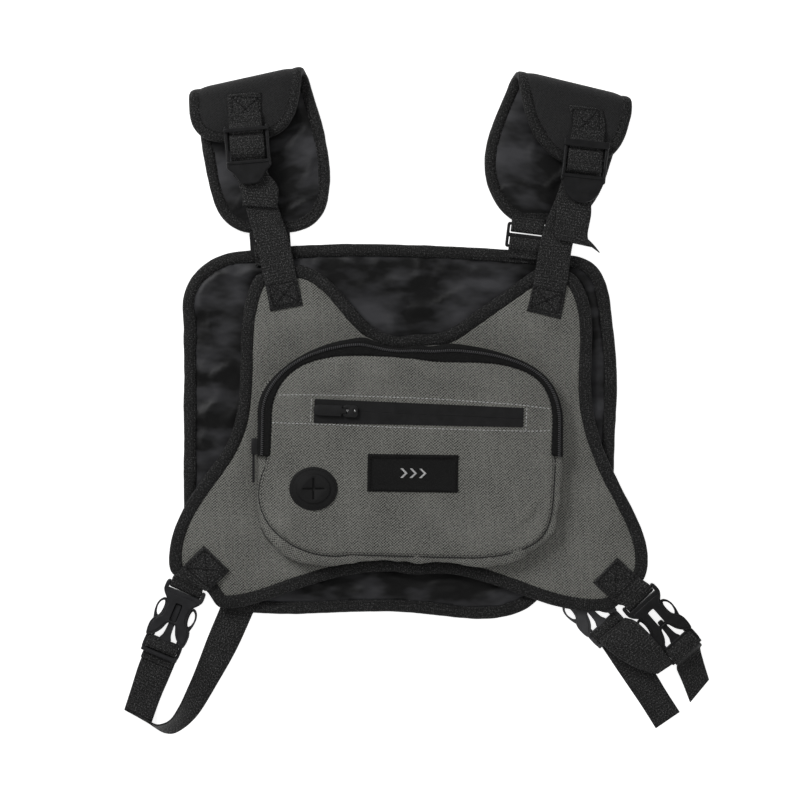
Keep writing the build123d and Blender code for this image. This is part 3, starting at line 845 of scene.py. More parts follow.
POCKET_LOOP = even(cap_loops("pocket_gusset")[0], 2.5, True)
FACE_LOOP = even(cap_loops("pocket_face")[0], 2.0, True)
FACE_LOOP = FACE_LOOP - outwards(FACE_LOOP) * 1.5 * ease((FACE_LOOP[:, 1:] + 46) / 5)
ZIP_END = -44.0


def face_height(plan, triangles, edge):
    """The front panel's grey cloth: nearly flat, a little wavy, and drawn in at its binding."""
    pocket = distance_to_loop(plan, POCKET_LOOP)
    wavy = 0.5 * swell(plan, 60, 12.0, 2) + 0.35 * creases(plan, 36, 15.0, 40, 3.0)
    near = np.exp(-(pocket / 14) ** 2)
    return FRONT_TOP + (wavy + 0.3) * ease(edge / 10) * (1 - near) - 0.7 * ease(1 - edge / 6)


def front_panel():
    cloth_panel("front_face_cloth", "front_panel_face", "front", "grey_fabric", GREY_CLOTH, face_height,
                lambda top: np.minimum(top - 0.6, FRONT_TOP - 0.9), 3.6)
    foam_slab("front_padding", "front_panel_foam", "front", FRONT_LOW + 0.7, FRONT_TOP - 0.9)
    cloth_panel("front_lining_cloth", "front_panel_lining", "front", "black_lining", LINING,
                lambda plan, *_: FRONT_LOW + 0.75 + 0.12 * swell(plan, 30, 5.0), lambda top: top - 0.5, 6.0)
    panel_binding("front_binding", FRONT_LOOP, FRONT_LOW + 0.1, FRONT_RIM + 0.5, "front", 2.0,
                  "front_panel_binding")


# ---------------------------------------------------------------- pocket

def gusset():
    """The pocket's grey side wall, with the flange under the zip and under the face."""
    loop = soften(POCKET_LOOP, 2)
    side = outwards(loop)
    foot, top = FRONT_TOP, SHELF_LOW - 2.4
    profile = [(-1.2, foot - 0.6), (0.3, foot + 0.1), (0.5, foot + 3), (0.9, foot + 6.5), (0.7, top - 1.6),
               (0.0, top - 0.2), (-1.6, top + 0.6), (-5.5, top + 1.4), (-9.5, top + 1.9), (-13, top + 2.0),
               (-13, top + 1.2), (-6, top + 0.4), (-1.6, top - 1.4), (-1.2, foot + 6)]
    along = np.linspace(0, length(loop, True), len(loop), endpoint=False)
    spot = lifted(along, 7.0)
    sway = 0.55 * swell(spot, 30, 31.0) + 0.4 * swell(spot, 11, 33.0)
    x, y = loop.T
    low_corner = nearness(np.abs(x + 3), y, (92, -110), (30, 26))
    high_corner = nearness(x, y, (-106, 12), (15, 15))
    under_zip = ease((y + 47) / 4)
    pucker = np.clip(swell(spot, 9, 35.0, 1), 0, 1)
    rings = []
    for j, (out, z) in enumerate(profile):
        # The wall's points 2 to 5 are loose, the rim's 6 and 7 a little, and the rest is held
        rim = j in (6, 7)
        loose = 1.0 if 2 <= j <= 5 else 0.25 if rim else 0.0
        puff = loose * (sway * (1.3 + 1.8 * low_corner) - 0.2 + 2.2 * high_corner * (1 + 0.4 * sway))
        spread = loop + side * (out + puff)[:, None]
        lift = loose * (0.5 + 1.5 * low_corner) * sway if j >= 5 else 0 * sway
        lift = lift + (1 - under_zip) * (1 + 1.2 * low_corner) * pucker * (1.1 if rim else 0)
        lift = lift - 1.5 * under_zip * (j >= 5) - 2.5 * high_corner * (4 <= j <= 5)
        rings.append(np.column_stack([spread, z + lift]))
    made("pocket_gusset_cloth", loft(np.stack(rings, 1), True), GREY_CLOTH, "front", "grey_fabric",
         "pocket_gusset")


def pocket_face_top(points):
    """Height of the pocket face at points in the plan."""
    edge = np.where(within(points, FACE_LOOP), distance_to_loop(points, FACE_LOOP), 0)
    x, y = points.T
    flat = ease(edge / 26)
    top = POCKET_TOP - 1.1 * (1 - flat) ** 2 - 0.9 * ease(1 - edge / 3.2)
    below = ease((-78 - y) / 30)
    above = ease((y - 4) / 14)
    left_corner = nearness(x, y, (-92, -104), (24, 18))
    right_corner = nearness(x, y, (88, -98), (20, 26))
    folds = (2.0 * creases(points, 26, 21.0, -48, 3.4, 3.2) * left_corner
             + 0.8 * creases(points, 40, 25.0, 20, 2.4) * below * (1 - below * 0.3)
             + 1.3 * creases(points, 30, 27.0, -25, 3.0) * above
             + 1.7 * creases(points, 24, 29.0, 35, 3.4) * right_corner)
    return top + folds * ease(edge / 5) * 2.1 + 0.25 * swell(points, 50, 24.0) * below


def pocket_face():
    plan, triangles = plan_mesh(even(FACE_LOOP, 2.0, True), 2.6)
    top = pocket_face_top(plan)
    parts = shell_parts(plan, triangles, top, top - 1.1)
    piece = made("pocket_face_cloth", parts, GREY_CLOTH, "front", "grey_fabric", "pocket_face", "front_pouch")
    flat_size(plan)
    plan_area(plan, triangles)
    rim = lifted(grown(FACE_LOOP, 0.3, 1), pocket_face_top(grown(FACE_LOOP, -1.0)) - 0.65)
    out = lifted(outwards(FACE_LOOP), 0)
    turn = round_angles(8)[:, None]
    rings = rim[:, None] + 0.5 * (np.cos(turn) * out[:, None] + np.sin(turn) * UP)
    made("pocket_face_seam", loft(rings, True), BLACK_CLOTH, "front", "grey_fabric")
    row = even(grown(FACE_LOOP, -1.5), 2.0, True)
    sewn("pocket_face_stitches", [(lifted(row, pocket_face_top(row) + 0.02), True)], BLACK_THREAD,
         "front", "grey_fabric", pitch=3.0, long=1.9, radius=0.26)


def zip_stretch(loop):
    """The part of a loop round the pocket that the main zip follows, from its right end to its left."""
    above = loop[:, 1] > ZIP_END
    first = int(np.flatnonzero(above & ~np.roll(above, 1))[0])
    loop, above = np.roll(loop, -first, 0), np.roll(above, -first)
    return loop[:int(np.argmin(above))]


def main_zip():
    """Black zip tape between the pocket's wall and its face, with a fine coil beside the face."""
    outer, inner = zip_stretch(grown(POCKET_LOOP, 0.7)), zip_stretch(grown(FACE_LOOP, -1.2))
    plan, triangles = plan_mesh(np.vstack([outer, inner[::-1]]), 1.6)
    from_wall = distance_to(plan, outer[:-1], outer[1:])
    top = SHELF_LOW + 0.5 - 0.9 * ease(1 - from_wall / 2.5)
    parts = shell_parts(plan, triangles, top, top - 0.8)
    piece = made("main_zip_tape_cloth", parts, ZIP_CLOTH, "front", "zip_tape", "main_zip_tape")
    plan_area(plan, triangles)
    beside = grown(FACE_LOOP, 0.5)
    band = distance_to_loop(beside, POCKET_LOOP)
    line = beside + outwards(beside) * (0.62 * soften(band[:, None], 6))
    line = even(soften(zip_stretch(line), 6, False), 0.5)
    ahead = directions(line, False)
    side = right_of(ahead)
    wire = 0.36
    parts = []
    for k in range(0, len(line) - 3, 3):
        tooth = []
        for t in np.linspace(0, 1, 5):
            middle = line[k] + side[k] * 0.95 * math.cos(math.pi * t) + ahead[k] * 0.7 * t
            z = SHELF_LOW + 0.95 + 0.55 * math.sin(math.pi * t)
            tooth.append([(*(middle + ahead[k] * wire * math.cos(a)), z + wire * math.sin(a))
                          for a in round_angles(6)])
        parts.append(loft(tooth))
    made("main_zip_coil", joined(*parts), COIL, "front", "zip_coil", "main_zip_teeth")


FRONT_ZIP = Axis((2.0, -11.0), -2.5, POCKET_TOP)


def front_zip():
    """Two coated lips that meet in a fine line, in a window of the face."""
    half = 78.0
    upper = [(-half, 0.05), (half, 0.05), (half, 7.9), (half - 0.4, 8.1), (0.4 - half, 8.1), (-half, 7.9)]
    lower = [(-half, -9.6), (0.4 - half, -9.9), (half - 0.4, -6.3), (half, -6.1), (half, -0.05),
             (-half, -0.05)]
    parts = [plate([lip], -0.35, 0.85, 0.25, 0) for lip in (upper, lower)]
    parts.append(plate([[(-half, -9), (half, -5.4), (half, 7.4), (-half, 7.4)]], -0.3, 0.7, 0.1, 0))
    moulding("front_zip_lips", FRONT_ZIP.put(*parts), COATING, "front", "coated_tape", "front_zip_tape")
    rows = [curve([(-111, 3), (-77, 3.4), (0, 1), (50, -2), (80, -4.4), (103, -7.5)], 3.0),
            curve([(-111, -17.2), (-60, -18.9), (0, -21.4), (80, -23.6), (103, -22.8)], 3.0)]
    rows = [line[within(line, grown(FACE_LOOP, -1.0))] for line in rows]
    for x in (-80.3, 80.3):
        rows.append(np.array([FRONT_ZIP.at(x, y, 0)[:2] for y in np.arange(-9.5, 9, 1.5)]))
    rows = [(lifted(line, pocket_face_top(line) + 0.12), False) for line in rows]
    sewn("front_zip_stitches", rows, PALE_THREAD, "front", "grey_fabric", pitch=3.0, long=2.1, radius=0.4)


def label():
    """A blank woven label with a raised sewn edge and three plain chevrons."""
    half_x, half_y = 33.75, 14.0
    axis = Axis((-2.5, -55.0), -0.8, POCKET_TOP)
    outline = [(-half_x, -half_y), (half_x, -half_y), (half_x, half_y), (-half_x, half_y)]
    plan, triangles = plan_mesh(even(outline, 1.2, True), 1.5)
    edge = distance_to_loop(plan, even(outline, 1.2, True))
    border = np.exp(-((edge - 1.6) / 1.3) ** 4)
    top = 0.55 + 0.75 * border + 0.12 * swell(plan, 14, 3.0)
    parts = shell_parts(plan, triangles, top, top * 0 - 0.3)
    moulding("woven_label", axis.put(parts), LABEL_CLOTH, "front", "label", "label_patch", sharp=180)
    pitch, long, z = 1.15, 2.7, 1.15
    edging = []
    for x in np.arange(-half_x + 0.6, half_x, pitch):
        for y in (-half_y + 0.2, half_y - 2.9):
            edging.append(stitch_parts([(x, y, z), (x + 0.3, y + long, z)], 3.0, long, 0.42))
    for y in np.arange(-half_y + 1.0, half_y, pitch):
        for x in (-half_x + 0.2, half_x - 2.9):
            edging.append(stitch_parts([(x, y, z), (x + long, y + 0.3, z)], 3.0, long, 0.42))
    made("label_edging", axis.put(*edging), BLACK_THREAD, "front", "label")
    marks = []
    for middle in (-7.0, 0.0, 7.0):
        for step in np.linspace(-1, 1, 11):
            x = middle + 2.2 - 3.2 * abs(step)
            y = 3.2 * step
            marks.append(stitch_parts([(x - 1.1, y, 0.62), (x + 1.1, y, 0.62)], 3.0, 2.2, 0.36))
    made("label_mark", axis.put(*marks), MARK_THREAD, "front", "label")


def cable_port():
    bevelled("cable_port", 0.35, RUBBER, "rubber", "front")
    ring = [(-76.5 + 16.2 * math.cos(a), -66.5 + 14.5 * math.sin(a), POCKET_TOP + 1.25)
            for a in round_angles(60)]
    sewn("cable_port_stitches", [(ring, True)], BLACK_THREAD, "front", "rubber", pitch=2.6, long=1.8,
         radius=0.28)


def zip_sliders():
    for name in ("main_zip_slider", "main_zip_pull", "front_zip_slider", "front_zip_pull"):
        bevelled(name, 0.35, METAL, "zip_metal", name + "_body")
    disc = [(0.9 * math.cos(a), 0.9 * math.sin(a)) for a in round_angles(12)]
    studs = []
    for x in (-53.2, -47.6):
        axis = Axis(FRONT_ZIP.at(x, 0.4, 0)[:2], 0, POCKET_TOP + 3.3)
        studs.append(axis.put(plate([disc], 0, 0.7, 0.25, 0)))
    moulding("front_zip_studs", joined(*studs), STUD, "front_zip_slider_body", "zip_metal")


# ---------------------------------------------------------------- shoulder pads

FOLDS = {"left": ((-169, 233), (-83, 252)), "right": ((73.5, 249), (160.5, 228))}
BEND_MIDDLE = 9.5
BEND_RADIUS = 5.5
PAD_HALF = 3.9
FRONT_CUT = 11.0


class Fold:
    """A shoulder pad's fold: x runs along its line, and t runs down the vest from it."""

    def __init__(self, side):
        start, end = (np.array(p, float) for p in FOLDS[side])
        self.middle = (start + end) / 2
        self.along = (end - start) / np.linalg.norm(end - start)
        self.up = np.array((-self.along[1], self.along[0]))

    def local(self, points):
        away = points - self.middle
        return np.column_stack([away @ self.along, -(away @ self.up)])

    def point(self, x, t, z):
        return (*(self.middle + self.along * x - self.up * t), z)

    def flap(self, node, cut):
        """The free edge of a flap, from its left end at the fold round its tip to its right end."""
        loop = cap_loops(node)[0]
        x, t = self.local(loop).T
        on_cut = np.flatnonzero(np.abs(t - cut) < 0.3)
        first = on_cut[np.argmin(x[on_cut])]
        last = on_cut[np.argmax(x[on_cut])]
        chains = []
        for step in (1, -1):
            chain = [first]
            while chain[-1] != last:
                chain.append((chain[-1] + step) % len(loop))
            chains.append(chain)
        chain = min(chains, key=lambda c: sum(i in on_cut for i in c))
        return soften(even(loop[chain], 2.5), 2, False)


def half_thickness(edge):
    return 1.9 + (PAD_HALF - 1.9) * ease(edge / 15)


def pad_bend(fold, rear, front):
    """The padding that turns over the shoulder, from the rear flap to the front flap."""
    at_rear, at_front = (fold.local(chain[[0, -1]])[:, 0] for chain in (rear, front))
    turns = [(-math.pi / 2 + math.pi * k / 14, 0.0) for k in range(15)]
    turns.append((math.pi / 2, FRONT_CUT - BEND_MIDDLE))
    share = np.linspace(0, 1, 32)
    rings = []
    for k, (turn, past) in enumerate(turns):
        ends = at_rear + (at_front - at_rear) * k / (len(turns) - 1)
        x = ends[0] + (ends[1] - ends[0]) * share
        thick = half_thickness(np.minimum(x - ends[0], ends[1] - x))
        ring = []
        for sign, order in ((1, range(len(x))), (-1, reversed(range(len(x))))):
            for i in order:
                radius = BEND_RADIUS + sign * thick[i]
                ring.append(fold.point(x[i], BEND_MIDDLE + past - radius * math.cos(turn),
                                       BEND_MIDDLE + radius * math.sin(turn)))
        rings.append(ring)
    return loft(np.array(rings))


def pad_flap(chain, middle, lining_up, seed):
    """One flap of a pad: crowned, held in at its edge, with its lining settled in folds."""
    outline = np.vstack([chain, even(np.array([chain[-1], chain[0]]), 2.5)[1:-1]])
    plan, triangles = plan_mesh(outline, 2.8)
    edge = distance_to(plan, chain[:-1], chain[1:])
    from_cut = distance_to(plan, chain[-1:], chain[:1])
    thick = half_thickness(edge)
    calm = ease(edge / 8) * ease(from_cut / 9)
    top = middle + thick
    if lining_up:
        lift = (1.5 * creases(plan, 34, seed, 40, 2.8) + 0.5 * creases(plan, 18, seed + 4, -50, 3.2)) * calm
        bed = middle + thick - 0.5 * calm
        top = bed + lift
        held = (edge < 2.0) | (from_cut < 2.0)
        place = settle(plan, triangles, held, top, bed, lambda at: 0.015, 140, bed + 0.1 + 2.2 * calm)
        top = bed + (place[:, 2] - bed) * calm
    else:
        top = top + (0.35 * swell(plan, 34, seed) + 0.25 * creases(plan, 24, seed + 2, 10, 3.0)) * calm
    return shell_parts(plan, triangles, top, middle - thick)


def shoulder_pad(side, seed):
    fold = Fold(side)
    rear = fold.flap(side + "_pad_rear_binding", BEND_MIDDLE)
    front = fold.flap(side + "_pad_front_binding", FRONT_CUT)
    low, high = BEND_MIDDLE - BEND_RADIUS, BEND_MIDDLE + BEND_RADIUS
    flap = pad_flap(rear, low, True, seed)
    cover = joined(pad_bend(fold, rear, front), pad_flap(front, high, False, seed + 1))
    for name, parts, material, slot, nodes in (
        ("_pad_lining", flap, LINING, "black_lining", ()),
        ("_pad_cover", cover, BLACK_CLOTH, "black_fabric", (side + "_pad_rear", side + "_pad_front")),
    ):
        points, faces, _ = parts
        x, t = fold.local(points[:, :2]).T
        past = np.arctan2(BEND_MIDDLE - t, points[:, 2] - BEND_MIDDLE)
        t = np.where(t < BEND_MIDDLE, BEND_MIDDLE - (BEND_RADIUS + PAD_HALF) * past, t)
        maps = np.column_stack([x, t])[[i for face in faces for i in face]]
        piece = moulding(side + name, (points, faces, maps), material, None, slot, *nodes, sharp=50)
        across_fold(piece)
    path, up = [], []
    for point in rear:
        path.append((*point, low))
        up.append((0, 0, -1.0))
    ends = [fold.local(chain[[0, -1]])[:, 0] for chain in (rear, front)]

    def turn_over(end, angles):
        for angle in angles:
            share = (angle + math.pi / 2) / math.pi
            x = ends[0][end] * (1 - share) + ends[1][end] * share
            path.append(fold.point(x, BEND_MIDDLE - BEND_RADIUS * math.cos(angle),
                                   BEND_MIDDLE + BEND_RADIUS * math.sin(angle)))
            up.append((*(fold.up * math.cos(angle)), math.sin(angle)))

    around = np.linspace(-math.pi / 2, math.pi / 2, 11)[1:-1]
    turn_over(1, around)
    for point in front[::-1]:
        path.append((*point, high))
        up.append(UP)
    turn_over(0, around[::-1])
    path, up = soften(path, 3), unit(soften(up, 2))
    out = unit(np.cross(up, directions(path, True)))
    path = path - out * (BINDING / 2 - 0.2)
    rings = tape_ring(path, up, out, BINDING / 2 + 0.2, PAD_HALF, seed + 6.0, 0.07)
    points, faces, maps = loft(rings, True)
    points[:, 2] = np.maximum(points[:, 2], 0.05)
    piece = made(side + "_pad_binding", (points, faces, maps), BINDING_CLOTH, None, "binding",
                 side + "_pad_rear_binding", side + "_pad_front_binding")
    across_fold(piece)
    rows = []
    for chain, height in ((rear, low + PAD_HALF), (front, high + PAD_HALF)):
        inner = chain - right_of(directions(chain, False)) * (BINDING - 2.2)
        rows.append((lifted(even(soften(inner, 4, False)[3:-3], 2), height - 0.3), False))
    across_fold(sewn(side + "_pad_stitches", rows, BLACK_THREAD, None))


def across_fold(piece):
    """Bakes the piece's placement into its points; it moves with no panel."""
    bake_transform(piece)


# ---------------------------------------------------------------- straps and their buckles

def mirrored(half):
    return list(half) + [(u, -v) for u, v in reversed(half)]


def both_sides(shape):
    return [[(u, sign * v) for u, v in shape] for sign in (1, -1)]


BUCKLES = {
    "left": Axis((-174.5, -146), -112.5, 6.05),
    "right": Axis((170, -152), -48.5, 11.85),
    "rear": Axis((114.2, -140.8), -47, 4.05),
}


def buckle(side, material):
    """A side-release buckle: a socket of two shells on a waist, a plug with a tongue, and two bowed arms."""
    axis = BUCKLES[side]
    shell = mirrored([
        (-0.5, 15.4), (1.6, 15.6), (4.5, 13.9), (7.2, 11.2), (9.5, 9.7), (15, 9.3), (20, 9.9), (23, 12.2),
        (25, 14.6), (29, 15.9), (34, 15.9), (37.8, 15.3), (38.8, 14.3), (38.7, 12.9), (36.6, 10.2), (34, 7.4),
        (31, 5.4), (27.5, 4.1), (25.3, 3.3), (24.3, 2.0)])
    raised = mirrored([
        (2.4, 13.2), (5.6, 11.4), (8.8, 8.3), (15, 7.8), (20.6, 8.5), (24.2, 12.2), (28.4, 14.2),
        (33.4, 14.2), (36.8, 13.6), (35.2, 11), (32.4, 8.6), (28.6, 6.4), (25.6, 5.0), (23.8, 3.4)])
    waist = [(-0.4, -13), (2, -13), (6.6, -9), (6.6, 9), (2, 13), (-0.4, 13)]
    recess = box(8.7, 22.6, 2.7)
    cheek = [(-6.1, 12.6), (-6.1, 14.4), (-4.9, 15.5), (-1, 15.7), (1.2, 15.6), (1.2, 12.6)]
    wall = [(6, 3.4), (20, 3.4), (20, 5.4), (6, 5.4)]
    floor_holes = [recess] if side == "right" else []
    socket = [plate([shell, *floor_holes], -3.7, -1.8, 0.7), plate([shell, recess], 1.7, 3.0, 0.5),
              plate([raised, recess], 2.5, 3.75, 0.5), plate([waist], -2.4, 2.4, 0.2, 0),
              rod((-4.75, -14, 0), (-4.75, 14, 0), 1.25)]
    socket += [plate([shape], -3.2, 3.2, 0.7) for shape in both_sides(cheek)]
    socket += [plate([shape], -2.4, 2.4, 0.2, 0) for shape in both_sides(wall)]
    moulding(side + "_socket_moulding", axis.put(*socket), material,
             side + "_socket" if side != "rear" else "back", "buckle_plastic", side + "_buckle_socket")
    frame_half = [(37.4, 14.0), (39.5, 14.8), (47.5, 14.8), (50.2, 13.7), (51.3, 11.4)]
    reach = 19.0 if side == "right" else 9.2
    tongue = [(reach, 1.6), (reach + 1.5, 2.3), (28, 2.4), (34, 3.0), (37.9, 5.2)]
    plug = [plate([mirrored(frame_half), box(39.5, 41.2, 12.3, 0.4), box(44, 48, 12.3, 0.5)], -1.6, 1.6, 0.5),
            plate([mirrored(tongue)], -1.6, 1.5, 0.4), rod((49.6, -13.6, 0.5), (49.6, 13.6, 0.5), 1.7)]
    moulding(side + "_plug_moulding", axis.put(*plug), material, side + "_plug", "buckle_plastic",
             side + "_buckle_plug")
    arm = [(37.4, 11.6), (30, 13.4), (24.5, 14.8), (20, 15.9), (15, 16.2), (11, 15.2), (8.4, 13.1),
           (7.8, 11.1), (9.2, 9.8), (13, 9.4), (18, 9.5), (22, 10.2), (26, 10.8), (30, 10.6), (37.4, 8.2)]
    window = [(9.6, 11.6), (12, 10.5), (16, 10.3), (20, 10.9), (22.6, 12.2), (20.5, 14.0), (16, 14.9),
              (12, 14.0)]
    for letter, *loops in zip("ab", both_sides(arm), both_sides(window)):
        moulding(f"{side}_arm_{letter}_moulding", axis.put(plate(loops, -1.45, 1.45, 0.45)), material,
                 f"{side}_arm_{letter}", "buckle_plastic", f"{side}_squeeze_arm_{letter}")


def plug_wrap(side, name, profile, tail, body, *nodes, **shape):
    """Webbing round a plug's bar, which goes on into a tail, given by its two edges."""
    axis = BUCKLES[side]
    a, b = axis.edges(profile, 12.3)
    a, b = a + tail[0], b + tail[1]
    ribbon(name, a, b, body, *nodes, spacing=1.5, wave=0.1, **shape)


def ladder_lock(side, top, down, anchor_start, top_bar, over, tail, tongue):
    """A lock at the top bar's middle, which points down the strap, with the webbing that it holds.

    over is the webbing's profile over the middle bar, and tail goes on from it by its two edges."""
    axis = Axis(top, math.degrees(math.atan2(down[1] - top[1], down[0] - top[0])))
    body = side + "_lock"
    cheek = [(-3.2, 14.0), (-3.4, 15.8), (-2.2, 16.9), (14, 16.3), (24, 16.7), (28.5, 16.7), (28.5, 14.0)]
    parts = [plate([shape], 20.8, 25.4, 0.9) for shape in both_sides(cheek)]
    parts += [plate([mirrored(tongue)], 22.7, 24.9, 0.95), rod((14, -15, 21.9), (14, 15, 21.9), 1.25),
              rod((0, -16, 22.6), (0, 16, 22.6), 1.2),
              plate([box(-top_bar / 2, top_bar / 2, 17.0, 0.8)], 25.9, 27.4, 0.6),
              plate([box(22.8, 25.6, 16.5, 0.8)], 22.7, 25.8, 0.8)]
    parts += [plate([box(-top_bar / 2, top_bar / 2, 1.5, 0.5, v)], 24.6, 26.8, 0.4) for v in (15.4, -15.4)]
    moulding(side + "_lock_moulding", axis.put(*parts), DARK_PLASTIC, body, "buckle_plastic",
             side + "_ladder_lock")
    wrap = [(-3.6, 20.7), (-1.6, 19.95), (1.2, 20.1), (2.7, 21.9), (2.3, 24.1), (0.2, 25.1), (-2.2, 24.2),
            (-4.6, 22.2), (-8, 21.7), (-12, 21.6)]
    start = [(-math.dist(anchor_start, top), 19.9), (-16, 20.0)]
    a, b = axis.edges(start + wrap)
    turn = np.array(anchor_start) - axis.at(start[0][0], 0, 0)[:2]
    a[0], b[0] = (np.add(p, (*turn, 0)) for p in (a[0], b[0]))
    ribbon(side + "_anchor_strap", a, b, "front", side + "_anchor_webbing", spacing=1.4, wave=0.08)
    a, b = axis.edges([(3.6, 22.4), (5.2, 23.8), *over, (23, 20.6), (27, 19.8), (33, 19.4)], 12.9)
    ribbon(side + "_tail_strap", a + tail[0], b + tail[1], body, side + "_webbing_tail", spacing=1.8,
           wave=0.15)


def box_of_stitches(corners, low_z, high_z=None):
    """Rows for a sewn box with a cross in it: its first two corners are at low_z, the others at high_z."""
    heights = (low_z, low_z, high_z or low_z, high_z or low_z)
    corners = [(*p, z) for p, z in zip(corners, heights)]
    pairs = [(0, 1), (1, 2), (2, 3), (3, 0), (0, 2), (1, 3)]
    return [(even(np.array([corners[i], corners[j]], float), 2.0), False) for i, j in pairs]


def shoulder_straps():
    ladder_lock("left", (-127, 201.5), (-124.5, 172), (-128.5, 229), 3.0,
                [(9, 24.5), (14, 24.9), (18, 24.4), (20.6, 22.6)],
                ([(-103.6, 160, 18.9), (-103, 150, 18.3), (-104.5, 143.5, 17.6)],
                 [(-129.5, 160, 18.9), (-129.6, 151, 18.3), (-130, 145, 17.6)]),
                [(23.5, 16.6), (28.5, 16.6), (32, 12.2), (39.5, 7.4), (40.8, 4)])
    ladder_lock("right", (127.5, 190.5), (124.5, 163), (126.5, 219), 5.4,
                [(8.5, 24.2), (12.2, 24.2), (14.0, 24.1), (15.2, 25.2), (17.0, 27.0), (19.2, 26.8),
                 (20.8, 24.4), (21.4, 22.4)],
                ([(131.5, 150, 19.2), (131, 138, 19.4), (128.5, 122, 18.6), (132.5, 113.5, 21)],
                 [(105.5, 150, 19.2), (105, 138, 18.8), (103.5, 124, 18.0), (106, 119.5, 17.6)]),
                [(23.5, 16.4), (29, 15.6), (36, 13), (41.5, 8.5), (44, 3)])
    for side, seed, heights, *edges in (
        ("left", 1.0, (12.9, 13.3, 14.2, 14.2, 14.8, 16.4, 17.2),
         [(-109.4, 66), (-111, 76), (-114, 90), (-120, 118), (-127.5, 143), (-134, 165), (-137.5, 176)],
         [(-84.8, 70.6), (-86.5, 79), (-89.5, 92), (-95.5, 120), (-103.5, 145), (-109.5, 165), (-112, 177)]),
        ("right", 2.0, (12.9, 13.3, 14.2, 14.2, 14.8, 16.0, 17.2),
         [(83, 66.5), (85.5, 76), (88.5, 90), (93, 118), (99, 137), (105, 152), (110, 167)],
         [(108.6, 60.2), (111, 72), (113.5, 88), (117.5, 116), (124, 136), (130, 150), (136, 166)]),
    ):
        a, b = (lifted(edge, heights) for edge in edges)
        ribbon(side + "_front_strap", a, b, "front", side + "_front_webbing", seed=seed, wave=0.3)
    rows = box_of_stitches([(-107, 69.6), (-87.5, 73.4), (-90.6, 89), (-110.2, 86)], 13.95, 14.85)
    rows += box_of_stitches([(85.7, 69.0), (106.6, 64.2), (110.4, 80), (89, 84.6)], 13.85, 14.55)
    rows += box_of_stitches([(-138, 226.5), (-118, 226), (-116.5, 207), (-137, 208)], 20.8)
    rows += box_of_stitches([(116.4, 217), (136.5, 216.6), (137.4, 197), (117.5, 197.4)], 20.8)
    sewn("strap_boxes", rows, BLACK_THREAD, "front", "webbing", **BOX_STITCHES)
    corner = [(112, 121.5, 18.6), (122, 119, 20.2), (130, 114.5, 21.4), (137, 109.5, 20.6)]
    far = [(115, 125.5, 18.6), (125, 122.5, 20.6), (132, 116.5, 21.8), (137.3, 110.2, 20.7)]
    ribbon("right_tail_corner", corner, far, "right_lock", thick=1.4, wave=0.05)


def rear_straps():
    for side, middle, tilt in (("left", (-109.5, 118), 4), ("right", (83, 122.5), -7)):
        axis = Axis(middle, tilt + 90)
        upper = [(13.5, 8.4), (11, 10.4), (8.6, 11.7), (5, 11.7), (3.2, 10.6), (3.0, 8.4)]
        lower = [(-2.0, 8.6), (-1.9, 10.8), (-3.4, 11.7), (-7.5, 11.7), (-10.5, 10.4), (-13.5, 8.2),
                 (-17, 7.9)]
        parts = [loft(ribbon_rings(*axis.edges(profile, NARROW_HALF), spacing=1.2, wave=0.05))
                 for profile in (upper, lower)]
        made(side + "_rear_straps", joined(*parts), WEBBING_CLOTH, "back", "webbing", side + "_rear_webbing")
        if side == "right":
            bevelled("right_rear_slide", 0.5, DARK_PLASTIC, "buckle_plastic", "back")
    outline, *slots = cap_loops("left_rear_slide")
    slots = [slot.mean(0) + (slot - slot.mean(0)) * (0.86, 0.9) for slot in slots]
    low, high = (corner.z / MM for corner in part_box("left_rear_slide"))
    moulding("left_rear_slide_moulding", plate([outline, *slots], low, high, 0.5, 0), DARK_PLASTIC, "back",
             "buckle_plastic", "left_rear_slide")


def corner_tabs():
    left, right, rear = BUCKLES["left"], BUCKLES["right"], BUCKLES["rear"]
    drop = [(-9.6, 6.0), (-7.2, 3.9), (-4.6, 3.1), (-2.3, 1.6), (-1.9, -0.8), (-3.2, -2.6), (-5.2, -2.9)]
    outer = left.edges(drop, NARROW_HALF)[1]
    inner = [left.at(u + 0.8 * (u > -3), NARROW_HALF, z) for u, z in drop]
    ribbon("left_corner_tab", [(-139.5, -128.5, 14.4), (-149, -137.5, 14.9), (-156.5, -143.8, 14.3)] + inner,
           [(-159.2, -109.6, 14.4), (-169.5, -120, 14.9), (-178.6, -129.6, 14.3)] + outer, "front",
           "left_front_tab", seed=3.0, wave=0.1, spacing=1.5)
    drop = [(-7.6, 3.1), (-4.8, 3.0), (-2.4, 1.8), (-1.8, -0.6), (-3.2, -2.5), (-5.2, -2.9)]
    outer = right.edges(drop, NARROW_HALF)[0]
    inner = [right.at(u + 0.9 * (u > -3), -NARROW_HALF, z) for u, z in drop]
    ribbon("right_corner_tab", [(151.2, -118.6, 14.4), (161, -128, 14.9), (168.6, -134.2, 14.9)] + outer,
           [(132.6, -137.4, 14.4), (142, -145.6, 14.9), (150.5, -153.2, 14.9)] + inner, "front",
           "right_front_tab", seed=4.0, wave=0.1, spacing=1.5)
    loop = [(-6.6, -2.2), (-7.7, 0), (-6.6, 2.2), (-4.4, 2.9), (-2.4, 1.6), (-2.0, -0.8), (-3.4, -2.5)]
    ribbon("rear_corner_tab", *rear.edges(loop, 12.3), "back", "rear_tab", spacing=1.2, wave=0.02)
    rows = box_of_stitches([(-158.7, -113), (-142.6, -128.4), (-156, -140.2), (-172.6, -126)], 15.4, 15.65)
    rows += box_of_stitches([(150.4, -122), (136, -137.2), (149, -149), (164.8, -133.4)], 15.4, 15.65)
    sewn("tab_boxes", rows, BLACK_THREAD, "front", "webbing", **BOX_STITCHES)


